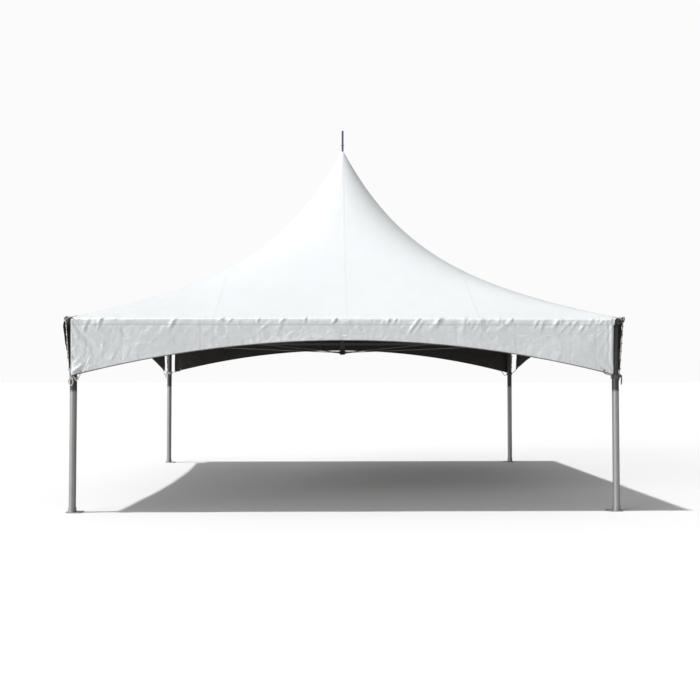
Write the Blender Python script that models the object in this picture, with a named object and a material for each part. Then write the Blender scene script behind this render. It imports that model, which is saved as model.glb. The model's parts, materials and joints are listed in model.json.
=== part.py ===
"""High-peak frame marquee, 6 m square: four legs, a ring of eave tubes, a mast that stands on
crossed cables, and a fabric roof with four arched valances.

Metres, +Z up, front towards -Y. The origin is on the ground, under the peak.
"""

import math

import bmesh
import bpy
from mathutils import Matrix, Vector

# Plan and heights
LEG_SPACING = 6.020
EAVE_HEIGHT = 2.130
PEAK_HEIGHT = 4.765
ROOF_SAG = 1.18
ROOF_ROUNDING = 1.5
FINIAL_TIP_HEIGHT = 5.070

# Legs and feet
LEG_DIAMETER = 0.0762
LEG_WALL = 0.0032
PLATE_THICKNESS = 0.008
PLATE_INBOARD = 0.120
PLATE_OUTBOARD = 0.065
PLATE_WIDTH = 0.150
PLATE_CORNER_RADIUS = 0.045
STAKE_HOLE_DIAMETER = 0.024
STAKE_HOLE_INBOARD = 0.088
COLLAR_HEIGHT = 0.045
COLLAR_WALL = 0.005

# Eave tubes, two to a side, with a swaged nose in the middle
EAVE_TUBE_DIAMETER = 0.0762
EAVE_TUBE_WALL = 0.0032
EAVE_OFFSET = 0.030
SWAGE_LENGTH = 0.140
SWAGE_WALL = 0.0028

# Corner fittings
SPIGOT_LENGTH = 0.120
HEAD_DIAMETER = 0.089
HEAD_SHOULDER = 0.032
HEAD_RISE = 0.060
ARM_SHOULDER = 0.050
ARM_LENGTH = 0.200
COLLAR_RELIEF = 0.002
ELBOW_RELIEF = 0.0005
EYE_HALF_WIDTH = 0.034
EYE_HALF_HEIGHT = 0.024
EYE_WIRE_RADIUS = 0.0065
EYE_OUTBOARD = 0.036
EYE_RISE = 0.022

# Crossed cables, their lugs and forks
LUG_THICKNESS = 0.008
LUG_HEIGHT = 0.036
LUG_BEYOND_PIN = 0.013
CORNER_LUG_REACH = 0.100
CORNER_PIN_DROP = 0.012
PIN_RADIUS = 0.006
PIN_CLEARANCE = 0.0006
FORK_CHEEK = 0.005
FORK_HEIGHT = 0.024
FORK_LENGTH = 0.050
TERMINAL_RADIUS = 0.009
TERMINAL_LENGTH = 0.120
CABLE_RADIUS = 0.005

# Mast
MAST_DIAMETER = 0.0508
MAST_WALL = 0.0030
MAST_FOOT_BOTTOM = 1.815
MAST_FOOT_HEIGHT = 0.090
MAST_FOOT_RADIUS = 0.036
MAST_LUG_REACH = 0.062
MAST_PIN_RISE = 0.032
MAST_HEAD_RADIUS = 0.075
MAST_HEAD_SKIRT = 0.030
MAST_HEAD_WEB = 0.010
FINIAL_DIAMETER = 0.0286
FINIAL_SEAT_DEPTH = 0.050
FINIAL_CHAMFER = 0.003
FINIAL_PIN_HEIGHT = 4.856
FINIAL_PIN_RADIUS = 0.004
FINIAL_PIN_LENGTH = 0.056

# Fabric and ties
FABRIC = 0.004
ROOF_HOLE_MARGIN = 0.002
CORNER_CLIP = 0.090
FRONT_VALANCE_DEPTH_MIDDLE = 0.238
FRONT_VALANCE_DEPTH_CORNER = 0.645
SIDE_VALANCE_DEPTH_MIDDLE = 0.200
SIDE_VALANCE_DEPTH_CORNER = 0.580
BACK_VALANCE_DEPTH_MIDDLE = 0.155
BACK_VALANCE_DEPTH_CORNER = 0.575
FRONT_VALANCE_INSET = 0.030
SIDE_VALANCE_FRONT_INSET = -0.018
SIDE_VALANCE_BACK_INSET = 0.170
BACK_VALANCE_INSET = 0.080
TIE_RADIUS = 0.0045
TIE_ABOVE_HEM = 0.018
TIE_WRAP_DROP = 0.060
TIE_PITCH = 0.013
TIE_LEAD = 0.010
TIE_LEVEL_RUN = 0.040

# Fits
SEAT_GAP = 0.0003
SLIP = 0.0012
WELD = 0.003

# Facets
LEG_SIDES = 24
TUBE_SIDES = 20
HIDDEN_SIDES = 12
SMALL_SIDES = 12
WIRE_SIDES = 8
RING_WIRE_SIDES = 6
PANEL_COLUMNS = 10
PANEL_ROWS = 14
PANEL_ROW_CROWDING = 1.5
VALANCE_COLUMNS = 24
TIE_STEP = math.radians(30)
TIE_BEVEL_RESOLUTION = 1

SMOOTH_ANGLE = math.radians(35)
QUARTER = math.pi / 2

# Worked out from the sizes above
LEG_RADIUS = LEG_DIAMETER / 2
LEG_AXIS = LEG_SPACING / 2
TUBE_RADIUS = EAVE_TUBE_DIAMETER / 2
TUBE_BORE = TUBE_RADIUS - EAVE_TUBE_WALL
EAVE_AXIS = LEG_AXIS + EAVE_OFFSET
EAVE_HALF = EAVE_AXIS + TUBE_RADIUS + SEAT_GAP + FABRIC
ROOF_RISE = PEAK_HEIGHT - EAVE_HEIGHT
FINIAL_RADIUS = FINIAL_DIAMETER / 2
ROOF_HOLE = FINIAL_RADIUS + ROOF_HOLE_MARGIN
MAST_RADIUS = MAST_DIAMETER / 2


def rise_share(half_width):
    """How far up the roof a plan of this half width lies, from 0 at the eave to 1 at the peak."""
    run = (EAVE_HALF - half_width) / (EAVE_HALF - ROOF_HOLE)
    return run / (1 + ROOF_SAG * (1 - run))


def roof_height(half_width):
    """Height of the roof's outer face where its plan is this far from the mast."""
    return EAVE_HEIGHT + ROOF_RISE * rise_share(half_width)


EAVE_SLOPE = ROOF_RISE / (EAVE_HALF - ROOF_HOLE) / (1 + ROOF_SAG)
EAVE_TUBE_Z = (
    roof_height(EAVE_AXIS) - FABRIC - (TUBE_RADIUS + SEAT_GAP) * math.hypot(1, EAVE_SLOPE)
)
LEG_TOP = EAVE_TUBE_Z - TUBE_RADIUS - HEAD_SHOULDER
LEG_BOTTOM = PLATE_THICKNESS + SEAT_GAP
CORNER_PIN_Z = LEG_TOP + HEAD_RISE / 2 - CORNER_PIN_DROP / 2
MAST_PIN_Z = MAST_FOOT_BOTTOM + MAST_PIN_RISE
MAST_SHOULDER = MAST_FOOT_BOTTOM + MAST_FOOT_HEIGHT
MAST_HEAD_TOP = PEAK_HEIGHT - FABRIC - SEAT_GAP
MAST_HEAD_EDGE = roof_height(MAST_HEAD_RADIUS) - FABRIC - SEAT_GAP
FINIAL_BOTTOM = MAST_HEAD_TOP - FINIAL_SEAT_DEPTH
MAST_TOP = FINIAL_BOTTOM - MAST_HEAD_WEB
VALANCE_TOP = EAVE_HEIGHT - FABRIC - SEAT_GAP
VALANCE_PLANE = EAVE_HALF - LEG_AXIS - FABRIC / 2

# Sides and corners, each a quarter turn on from the last, with the names of a side's two ends
SIDES = {
    "front": (0, "left", "right"),
    "right": (1, "front", "back"),
    "back": (2, "right", "left"),
    "left": (3, "back", "front"),
}
CORNERS = {
    "front_left": (0, "front", "left"),
    "front_right": (1, "right", "front"),
    "back_right": (2, "back", "right"),
    "back_left": (3, "left", "back"),
}

# Each valance's depth at mid-span and at the corners of the eave
VALANCE_DEPTHS = {
    "front": (FRONT_VALANCE_DEPTH_MIDDLE, FRONT_VALANCE_DEPTH_CORNER),
    "right": (SIDE_VALANCE_DEPTH_MIDDLE, SIDE_VALANCE_DEPTH_CORNER),
    "back": (BACK_VALANCE_DEPTH_MIDDLE, BACK_VALANCE_DEPTH_CORNER),
    "left": (SIDE_VALANCE_DEPTH_MIDDLE, SIDE_VALANCE_DEPTH_CORNER),
}

# How far short of the leg's axis each valance stops, at the side's first and second end
VALANCE_INSETS = {
    "front": (FRONT_VALANCE_INSET, FRONT_VALANCE_INSET),
    "right": (SIDE_VALANCE_FRONT_INSET, SIDE_VALANCE_BACK_INSET),
    "back": (BACK_VALANCE_INSET, BACK_VALANCE_INSET),
    "left": (SIDE_VALANCE_BACK_INSET, SIDE_VALANCE_FRONT_INSET),
}


def clear_scene():
    for old in list(bpy.data.objects):
        bpy.data.objects.remove(old, do_unlink=True)


def make_material(name, colour, roughness, metallic=0.0):
    """A Principled BSDF with one colour."""
    material = bpy.data.materials.new(name)
    material.use_nodes = True
    shader = material.node_tree.nodes["Principled BSDF"]
    shader.inputs["Base Color"].default_value = (*colour, 1.0)
    shader.inputs["Roughness"].default_value = roughness
    shader.inputs["Metallic"].default_value = metallic
    return material


def mesh_from(name, shape):
    """A mesh data block from a bmesh, with its normals pointing out."""
    bmesh.ops.remove_doubles(shape, verts=shape.verts, dist=1e-6)
    bmesh.ops.recalc_face_normals(shape, faces=shape.faces)
    mesh = bpy.data.meshes.new(name)
    shape.to_mesh(mesh)
    shape.free()
    return mesh


def place(name, mesh, material, location=(0, 0, 0), turns=0):
    """One named object, set down at a location and turned by quarter turns about Z."""
    item = bpy.data.objects.new(name, mesh)
    if not mesh.materials:
        mesh.materials.append(material)
    mesh.shade_smooth()
    mesh.set_sharp_from_angle(angle=SMOOTH_ANGLE)
    item.location = location
    item.rotation_euler = (0, 0, turns * QUARTER)
    bpy.context.scene.collection.objects.link(item)
    return item


def corner_location(turns, height=0.0):
    """The leg axis of the corner that is this many quarter turns on from the front left."""
    return Matrix.Rotation(turns * QUARTER, 3, "Z") @ Vector((-LEG_AXIS, -LEG_AXIS, height))


# Shapes

def turned(profile, sides, closed=True):
    """A shape turned about Z from (radius, height) points. An open profile starts and ends on Z."""
    shape = bmesh.new()
    points = [shape.verts.new((radius, 0, height)) for radius, height in profile]
    pairs = list(zip(points, points[1:]))
    if closed:
        pairs.append((points[-1], points[0]))
    edges = [shape.edges.new(pair) for pair in pairs]
    bmesh.ops.spin(
        shape, geom=points + edges, cent=(0, 0, 0), axis=(0, 0, 1),
        angle=2 * math.pi, steps=sides, use_merge=True,
    )
    return shape


def tube_shape(radius, wall, bottom, top, sides):
    return turned(
        [(radius - wall, bottom), (radius, bottom), (radius, top), (radius - wall, top)], sides
    )


def rod_shape(radius, bottom, top, sides):
    return turned([(0, bottom), (radius, bottom), (radius, top), (0, top)], sides, closed=False)


def ring_shape(radius, wire_radius):
    """A ring of round wire about Z."""
    angles = [step / RING_WIRE_SIDES * 2 * math.pi for step in range(RING_WIRE_SIDES)]
    return turned(
        [(radius + wire_radius * math.cos(a), wire_radius * math.sin(a)) for a in angles], SMALL_SIDES
    )


def box_shape(low, high):
    """A block between two corners."""
    shape = bmesh.new()
    size = Vector(high) - Vector(low)
    middle = (Vector(high) + Vector(low)) / 2
    bmesh.ops.create_cube(shape, size=1, matrix=Matrix.Translation(middle) @ Matrix.Diagonal((*size, 1)))
    return shape


def along_x(shape, offset=(0, 0, 0)):
    """Lays a shape that was made along Z down along +X, then moves it."""
    bmesh.ops.transform(
        shape, matrix=Matrix.Translation(offset) @ Matrix.Rotation(QUARTER, 4, "Y"), verts=shape.verts
    )
    return shape


def along_y(shape, offset=(0, 0, 0)):
    """Lays a shape that was made along Z down along +Y, then moves it."""
    bmesh.ops.transform(
        shape, matrix=Matrix.Translation(offset) @ Matrix.Rotation(-QUARTER, 4, "X"), verts=shape.verts
    )
    return shape


def moved(shape, matrix):
    bmesh.ops.transform(shape, matrix=matrix, verts=shape.verts)
    return shape


def combined(name, base, steps):
    """The mesh left when each shape of steps is joined to the base, or cut from it, in order."""
    holder = bpy.data.objects.new(name, mesh_from(name, base))
    bpy.context.scene.collection.objects.link(holder)
    tools = []
    for operation, shape in steps:
        tool = bpy.data.objects.new(name + "_tool", mesh_from(name + "_tool", shape))
        bpy.context.scene.collection.objects.link(tool)
        boolean = holder.modifiers.new(operation, "BOOLEAN")
        boolean.operation = operation
        boolean.solver = "EXACT"
        boolean.object = tool
        tools.append(tool)
    ready = holder.evaluated_get(bpy.context.evaluated_depsgraph_get())
    result = bmesh.new()
    result.from_mesh(ready.to_mesh())
    ready.to_mesh_clear()
    for old in [holder, *tools]:
        bpy.data.objects.remove(old, do_unlink=True)
    return mesh_from(name, result)


# Feet and legs

def foot_mesh():
    """A base plate with a stake hole and a welded collar round the leg."""
    outline = bmesh.new()
    inset = PLATE_CORNER_RADIUS
    centres = [
        (PLATE_INBOARD - inset, PLATE_WIDTH / 2 - inset, 0),
        (inset - PLATE_OUTBOARD, PLATE_WIDTH / 2 - inset, 1),
        (inset - PLATE_OUTBOARD, inset - PLATE_WIDTH / 2, 2),
        (PLATE_INBOARD - inset, inset - PLATE_WIDTH / 2, 3),
    ]
    arc_steps = 4
    rim = []
    for x, y, quarter in centres:
        for step in range(arc_steps + 1):
            angle = (quarter + step / arc_steps) * QUARTER
            rim.append(outline.verts.new((x + inset * math.cos(angle), y + inset * math.sin(angle), 0)))
    plate = outline.faces.new(rim)
    lifted = bmesh.ops.extrude_face_region(outline, geom=[plate])
    top = [v for v in lifted["geom"] if isinstance(v, bmesh.types.BMVert)]
    bmesh.ops.translate(outline, verts=top, vec=(0, 0, PLATE_THICKNESS))
    hole = rod_shape(STAKE_HOLE_DIAMETER / 2, -PLATE_THICKNESS, 2 * PLATE_THICKNESS, SMALL_SIDES)
    bmesh.ops.translate(hole, verts=hole.verts, vec=(STAKE_HOLE_INBOARD, 0, 0))
    bore = LEG_RADIUS + SLIP / 2
    collar = turned(
        [
            (bore, PLATE_THICKNESS - WELD),
            (bore + COLLAR_WALL, PLATE_THICKNESS - WELD),
            (bore + COLLAR_WALL, PLATE_THICKNESS + COLLAR_HEIGHT),
            (bore, PLATE_THICKNESS + COLLAR_HEIGHT),
        ],
        LEG_SIDES,
    )
    return combined("foot", outline, [("DIFFERENCE", hole), ("UNION", collar)])


def build_feet_and_legs(plate_finish, leg_finish):
    foot = foot_mesh()
    leg = mesh_from("leg", tube_shape(LEG_RADIUS, LEG_WALL, LEG_BOTTOM, LEG_TOP, LEG_SIDES))
    for corner, (turns, _, _) in CORNERS.items():
        spot = corner_location(turns)
        inward = 0 if spot.x < 0 else 2
        place("foot_plate_" + corner, foot, plate_finish, spot, inward)
        place("leg_" + corner, leg, leg_finish, spot)


# Corner fittings

def corner_fitting_mesh():
    """A spigot for the leg, two for the eave tubes, a cable lug and an eye. Inward is +X and +Y."""
    collar_radius = TUBE_RADIUS - COLLAR_RELIEF
    arm_radius = TUBE_BORE - SLIP
    arm_end = ARM_SHOULDER + ARM_LENGTH
    spigot = rod_shape(LEG_RADIUS - LEG_WALL - SLIP, LEG_TOP - SPIGOT_LENGTH, LEG_TOP + WELD, HIDDEN_SIDES)
    head = rod_shape(HEAD_DIAMETER / 2, LEG_TOP + SEAT_GAP, LEG_TOP + HEAD_RISE, LEG_SIDES)
    steps = [("UNION", head)]
    for lay, centre in (
        (along_x, (0, -EAVE_OFFSET, EAVE_TUBE_Z)),
        (along_y, (-EAVE_OFFSET, 0, EAVE_TUBE_Z)),
    ):
        steps.append(("UNION", lay(rod_shape(collar_radius, -EAVE_OFFSET, ARM_SHOULDER, TUBE_SIDES), centre)))
        steps.append(("UNION", lay(rod_shape(arm_radius, 0, arm_end, HIDDEN_SIDES), centre)))
    elbow = bmesh.new()
    bmesh.ops.create_uvsphere(
        elbow, u_segments=TUBE_SIDES, v_segments=TUBE_SIDES // 2, radius=TUBE_RADIUS - ELBOW_RELIEF,
        matrix=Matrix.Translation((-EAVE_OFFSET, -EAVE_OFFSET, EAVE_TUBE_Z)),
    )
    steps.append(("UNION", elbow))

    # The lug and the eye both lie on the corner's diagonal
    diagonal = Matrix.Rotation(QUARTER / 2, 4, "Z")
    lug_middle = CORNER_PIN_Z
    lug = box_shape(
        (0, -LUG_THICKNESS / 2, lug_middle - LUG_HEIGHT / 2),
        (CORNER_LUG_REACH + LUG_BEYOND_PIN, LUG_THICKNESS / 2, lug_middle + LUG_HEIGHT / 2),
    )
    steps.append(("UNION", moved(lug, diagonal)))
    pin_hole = along_y(
        rod_shape(PIN_RADIUS + PIN_CLEARANCE, -LUG_THICKNESS, LUG_THICKNESS, SMALL_SIDES),
        (CORNER_LUG_REACH, 0, CORNER_PIN_Z),
    )
    steps.append(("DIFFERENCE", moved(pin_hole, diagonal)))
    eye = Matrix.Diagonal((EYE_HALF_HEIGHT / EYE_HALF_WIDTH, 1, 1, 1))
    eye = Matrix.Rotation(QUARTER / 2, 4, "Y") @ eye
    eye_middle = (-EAVE_OFFSET * math.sqrt(2) - EYE_OUTBOARD, 0, EAVE_TUBE_Z + EYE_RISE)
    eye = Matrix.Translation(eye_middle) @ eye
    steps.append(("UNION", moved(ring_shape(EYE_HALF_WIDTH, EYE_WIRE_RADIUS), diagonal @ eye)))
    return combined("corner_fitting", spigot, steps)


def build_corner_fittings(finish):
    fitting = corner_fitting_mesh()
    for corner, (turns, _, _) in CORNERS.items():
        place("corner_fitting_" + corner, fitting, finish, corner_location(turns), turns)


# Eave tubes

def build_eave_tubes(finish):
    """Two tubes a side, from the fittings' shoulders to the middle, where one nose slides in."""
    reach = LEG_AXIS - ARM_SHOULDER - SEAT_GAP
    middle_gap = SEAT_GAP / 2
    plain = along_x(tube_shape(TUBE_RADIUS, EAVE_TUBE_WALL, -reach, -middle_gap, TUBE_SIDES))
    nose_radius = TUBE_BORE - SLIP
    nose_bore = nose_radius - SWAGE_WALL
    swaged = along_x(
        turned(
            [
                (TUBE_BORE, reach),
                (TUBE_RADIUS, reach),
                (TUBE_RADIUS, middle_gap),
                (nose_radius, middle_gap),
                (nose_radius, -SWAGE_LENGTH),
                (nose_bore, -SWAGE_LENGTH),
                (nose_bore, 2 * EAVE_TUBE_WALL),
                (TUBE_BORE, 2 * EAVE_TUBE_WALL + WELD),
            ],
            TUBE_SIDES,
        )
    )
    halves = [mesh_from("eave_tube_plain", plain), mesh_from("eave_tube_swaged", swaged)]
    for side, (turns, *ends) in SIDES.items():
        spot = Matrix.Rotation(turns * QUARTER, 3, "Z") @ Vector((0, -EAVE_AXIS, EAVE_TUBE_Z))
        for end, half in zip(ends, halves):
            place(f"eave_tube_{side}_{end}", half, finish, spot, turns)


# Mast and cables

def mast_foot_mesh():
    """A turned block under the mast, with a spigot up into it and a lug for each cable."""
    spigot = MAST_RADIUS - MAST_WALL - SLIP
    block = turned(
        [
            (0, MAST_FOOT_BOTTOM),
            (MAST_FOOT_RADIUS, MAST_FOOT_BOTTOM),
            (MAST_FOOT_RADIUS, MAST_SHOULDER),
            (spigot, MAST_SHOULDER),
            (spigot, MAST_SHOULDER + SPIGOT_LENGTH),
            (0, MAST_SHOULDER + SPIGOT_LENGTH),
        ],
        TUBE_SIDES,
        closed=False,
    )
    steps = []
    reach = MAST_LUG_REACH + LUG_BEYOND_PIN
    for eighth in (1, 3):
        turn = Matrix.Rotation(eighth * QUARTER / 2, 4, "Z")
        bar = box_shape(
            (-reach, -LUG_THICKNESS / 2, MAST_PIN_Z - LUG_HEIGHT / 2 + WELD),
            (reach, LUG_THICKNESS / 2, MAST_PIN_Z + LUG_HEIGHT / 2),
        )
        steps.append(("UNION", moved(bar, turn)))
        for end in (-1, 1):
            hole = along_y(
                rod_shape(PIN_RADIUS + PIN_CLEARANCE, -LUG_THICKNESS, LUG_THICKNESS, SMALL_SIDES),
                (end * MAST_LUG_REACH, 0, MAST_PIN_Z),
            )
            steps.append(("DIFFERENCE", moved(hole, turn)))
    return combined("mast_foot", block, steps)


def mast_head_mesh():
    """A turned cap under the peak: sockets for the mast and the finial, and a cone for the fabric."""
    rod_bore = FINIAL_RADIUS + SLIP / 2
    mast_bore = MAST_RADIUS + SLIP / 2
    base = MAST_HEAD_EDGE - MAST_HEAD_SKIRT
    return mesh_from(
        "mast_head",
        turned(
            [
                (0, FINIAL_BOTTOM),
                (rod_bore, FINIAL_BOTTOM),
                (rod_bore, MAST_HEAD_TOP),
                (ROOF_HOLE, MAST_HEAD_TOP),
                (MAST_HEAD_RADIUS, MAST_HEAD_EDGE),
                (MAST_HEAD_RADIUS, base),
                (mast_bore, base),
                (mast_bore, MAST_TOP),
                (0, MAST_TOP),
            ],
            4 * PANEL_COLUMNS,
            closed=False,
        ),
    )


def finial_mesh():
    """The rod above the peak, with a small cross pin."""
    rod = turned(
        [
            (0, FINIAL_BOTTOM + SEAT_GAP),
            (FINIAL_RADIUS, FINIAL_BOTTOM + SEAT_GAP),
            (FINIAL_RADIUS, FINIAL_TIP_HEIGHT - FINIAL_CHAMFER),
            (FINIAL_RADIUS - FINIAL_CHAMFER, FINIAL_TIP_HEIGHT),
            (0, FINIAL_TIP_HEIGHT),
        ],
        TUBE_SIDES,
        closed=False,
    )
    half = FINIAL_PIN_LENGTH / 2
    pin = along_x(rod_shape(FINIAL_PIN_RADIUS, -half, half, WIRE_SIDES), (0, 0, FINIAL_PIN_HEIGHT))
    return combined("finial_rod", rod, [("UNION", pin)])


def build_mast(finish, fitting_finish, finial_finish):
    mast = tube_shape(MAST_RADIUS, MAST_WALL, MAST_SHOULDER + SEAT_GAP, MAST_TOP - SEAT_GAP, TUBE_SIDES)
    place("mast_tube", mesh_from("mast_tube", mast), finish)
    place("mast_foot", mast_foot_mesh(), fitting_finish)
    place("mast_head", mast_head_mesh(), fitting_finish)
    place("finial_rod", finial_mesh(), finial_finish)


def fork_steps(pin_x, inward):
    """The shapes that fork one end of a cable round its lug, with a pin through both cheeks."""
    half_slot = LUG_THICKNESS / 2 + SEAT_GAP
    half_width = half_slot + FORK_CHEEK
    pin_reach = half_width + FORK_CHEEK / 2

    def block(start, end, half_y, half_z):
        near, far = sorted((pin_x + inward * start, pin_x + inward * end))
        return box_shape((near, -half_y, -half_z), (far, half_y, half_z))

    body = block(-LUG_BEYOND_PIN, FORK_LENGTH, half_width, FORK_HEIGHT / 2)
    slot = block(-2 * LUG_BEYOND_PIN, LUG_BEYOND_PIN + WELD, half_slot, FORK_HEIGHT)
    pin = along_y(rod_shape(PIN_RADIUS, -pin_reach, pin_reach, SMALL_SIDES), (pin_x, 0, 0))
    ends = sorted((pin_x + inward * (FORK_LENGTH - WELD), pin_x + inward * TERMINAL_LENGTH))
    terminal = along_x(rod_shape(TERMINAL_RADIUS, *ends, SMALL_SIDES))
    return [("UNION", body), ("DIFFERENCE", slot), ("UNION", pin), ("UNION", terminal)]


def cable_mesh(length):
    """A cable between two pins along +X, with a fork and a swaged terminal at each end."""
    inset = TERMINAL_LENGTH - WELD
    wire = along_x(rod_shape(CABLE_RADIUS, inset, length - inset, WIRE_SIDES))
    return combined("cross_cable", wire, fork_steps(0, 1) + fork_steps(length, -1))


def build_cables(finish):
    """Four cables, from the mast foot's lugs out and up to the corner fittings' lugs."""
    corner_reach = LEG_AXIS * math.sqrt(2) - CORNER_LUG_REACH
    run = corner_reach - MAST_LUG_REACH
    climb = CORNER_PIN_Z - MAST_PIN_Z
    cable = cable_mesh(math.hypot(run, climb))
    slope = math.atan2(climb, run)
    for corner, (turns, _, _) in CORNERS.items():
        bearing = (2 * turns - 3) * QUARTER / 2
        start = Vector((MAST_LUG_REACH * math.cos(bearing), MAST_LUG_REACH * math.sin(bearing), MAST_PIN_Z))
        item = place("cross_cable_" + corner, cable, finish, start)
        item.rotation_euler = (0, -slope, bearing)


# Fabric

def roof_levels():
    """Half widths of the roof's rows, from the eave in to the hole for the finial, closer near the peak."""
    shares = [(1 - step / PANEL_ROWS) ** PANEL_ROW_CROWDING for step in range(PANEL_ROWS)]
    rows = [MAST_HEAD_RADIUS + (EAVE_AXIS - MAST_HEAD_RADIUS) * share for share in shares]
    return [EAVE_HALF, *rows, MAST_HEAD_RADIUS, ROOF_HOLE]


def roundness(half_width):
    """How round the roof's plan is: 0, a square, over the eave tubes, and 1, a circle, at the peak."""
    square_to = rise_share(EAVE_AXIS - TUBE_RADIUS)
    climb = (rise_share(half_width) - square_to) / (1 - square_to)
    return 1 - (1 - max(climb, 0)) ** ROOF_ROUNDING


def roof_point(half_width, angle):
    """A point of the front panel, on a superellipse between a square and a circle."""
    corner = 1
    power = roundness(half_width) / 2
    if power > 0:
        corner = (1 + abs(math.tan(angle)) ** (1 / power)) ** power
    reach = half_width / (math.cos(angle) * corner)
    return Vector(
        (reach * math.sin(angle), -reach * math.cos(angle) - SEAT_GAP, roof_height(half_width))
    )


def roof_panel_mesh():
    """One of four equal panels. Neighbours meet over the hips, with a hair's gap."""
    levels = roof_levels()
    rows = len(levels) - 1
    shape = bmesh.new()
    bmesh.ops.create_grid(shape, x_segments=PANEL_COLUMNS, y_segments=rows, size=0.5)
    for vertex in shape.verts:
        level = levels[round((vertex.co.y + 0.5) * rows)]
        vertex.co = roof_point(level, vertex.co.x * QUARTER)
    for side in (-1, 1):
        bmesh.ops.bisect_plane(
            shape, geom=[*shape.verts, *shape.edges, *shape.faces], dist=1e-6,
            plane_co=(side * EAVE_HALF, CORNER_CLIP - EAVE_HALF, 0),
            plane_no=(side, -1, 0), clear_outer=True,
        )
    return hang_thickness(shape, "roof_panel", (0, 0, -FABRIC))


def hang_thickness(shape, name, offset):
    """Turns a sheet into a solid by extruding it through its thickness."""
    extruded = bmesh.ops.extrude_face_region(shape, geom=list(shape.faces))
    far = [v for v in extruded["geom"] if isinstance(v, bmesh.types.BMVert)]
    bmesh.ops.translate(shape, verts=far, vec=offset)
    return mesh_from(name, shape)


def hem_height(side, across):
    """Height of a valance's arched lower edge, this far from the middle of its side."""
    middle, corner = VALANCE_DEPTHS[side]
    return EAVE_HEIGHT - middle - (corner - middle) * (across / EAVE_HALF) ** 2


def valance_mesh(side):
    """A valance as it hangs on the front side: straight along the eave, arched along its hem."""
    first_inset, second_inset = VALANCE_INSETS[side]
    first = first_inset - LEG_AXIS
    second = LEG_AXIS - second_inset
    shape = bmesh.new()
    bmesh.ops.create_grid(shape, x_segments=VALANCE_COLUMNS, y_segments=1, size=0.5)
    for vertex in shape.verts:
        across = first + (second - first) * (vertex.co.x + 0.5)
        height = VALANCE_TOP if vertex.co.y > 0 else hem_height(side, across)
        vertex.co = (across, -EAVE_HALF, height)
    return hang_thickness(shape, "valance_" + side, (0, FABRIC, 0))


def build_fabric(finish):
    panel = roof_panel_mesh()
    for side, (turns, _, _) in SIDES.items():
        place("roof_panel_" + side, panel, finish, turns=turns)
        place("valance_" + side, valance_mesh(side), finish, turns=turns)


# Ties

def tangent_angle(point, radius, direction):
    """Where a line from a point meets a circle about Z that it goes round clockwise."""
    reach = math.hypot(point.x, point.y)
    return math.atan2(point.y, point.x) + direction * math.acos(radius / reach)


def tie_route(side, other):
    """From the first end of one side's valance, round the leg, to the second end of the other's."""
    side_inset = VALANCE_INSETS[side][0]
    other_inset = VALANCE_INSETS[other][1]
    wrap = (LEG_RADIUS + TIE_RADIUS + 2 * SEAT_GAP) / math.cos(TIE_STEP / 2)
    start_z = hem_height(side, LEG_AXIS - side_inset) + TIE_ABOVE_HEM
    end_z = hem_height(other, LEG_AXIS - other_inset) + TIE_ABOVE_HEM
    wrap_z = min(start_z, end_z) - TIE_WRAP_DROP
    start = Vector((side_inset - SEAT_GAP, -VALANCE_PLANE, start_z))
    end = Vector((-VALANCE_PLANE, other_inset - SEAT_GAP, end_z))
    lead_in = start - Vector((TIE_LEAD, 0, 0))
    lead_out = end - Vector((0, TIE_LEAD, 0))
    first = tangent_angle(lead_in, wrap, -1)
    last = tangent_angle(lead_out, wrap, 1) - 2 * math.pi
    while last > first - 2 * math.pi:
        last -= 2 * math.pi
    steps = math.ceil((first - last) / TIE_STEP)
    route = [start, lead_in]
    for step in range(steps + 1):
        angle = first + (last - first) * step / steps
        height = wrap_z - TIE_PITCH * (first - angle) / (2 * math.pi)
        route.append(Vector((wrap * math.cos(angle), wrap * math.sin(angle), height)))
    leaving = route[-1]
    away = lead_out - leaving
    away.z = 0
    route.append(leaving + away.normalized() * TIE_LEVEL_RUN)
    route.extend([lead_out, end])
    return route


def rope_mesh(name, route):
    """A closed round rope along a route."""
    curve = bpy.data.curves.new(name, "CURVE")
    curve.dimensions = "3D"
    curve.bevel_depth = TIE_RADIUS
    curve.bevel_resolution = TIE_BEVEL_RESOLUTION
    curve.use_fill_caps = True
    spline = curve.splines.new("POLY")
    spline.points.add(len(route) - 1)
    for slot, point in zip(spline.points, route):
        slot.co = (*point, 1)
    holder = bpy.data.objects.new(name, curve)
    shape = bmesh.new()
    swept = holder.to_mesh()
    shape.from_mesh(swept)
    holder.to_mesh_clear()
    bpy.data.objects.remove(holder, do_unlink=True)
    return mesh_from(name, shape)


def build_ties(finish):
    """A rope at each corner lashes the two valances' lower corners to the leg."""
    for corner, (turns, side, other) in CORNERS.items():
        name = "valance_tie_" + corner
        place(name, rope_mesh(name, tie_route(side, other)), finish, corner_location(turns), turns)


def main():
    clear_scene()
    aluminium = make_material("mill_aluminium", (0.56, 0.55, 0.54), 0.38, 1.0)
    steel = make_material("galvanised_steel", (0.34, 0.34, 0.34), 0.5, 0.9)
    wire = make_material("cable_steel", (0.30, 0.30, 0.31), 0.45, 1.0)
    blued = make_material("finial_paint", (0.10, 0.10, 0.19), 0.35, 0.3)
    vinyl = make_material("white_vinyl", (0.86, 0.88, 0.89), 0.4)
    rope = make_material("tie_rope", (0.80, 0.78, 0.74), 0.85)
    build_feet_and_legs(steel, aluminium)
    build_corner_fittings(steel)
    build_eave_tubes(aluminium)
    build_mast(aluminium, steel, blued)
    build_cables(wire)
    build_fabric(vinyl)
    build_ties(rope)


main()
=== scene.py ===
"""Looks for the marquee tent: the sewn roof and valances, ropes, straps, small hardware and finishes.

Laid out as a Blender add-on and run as a script. Sizes are in metres, +Z up, front towards -Y.
"""

import json
import math
import random

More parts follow.
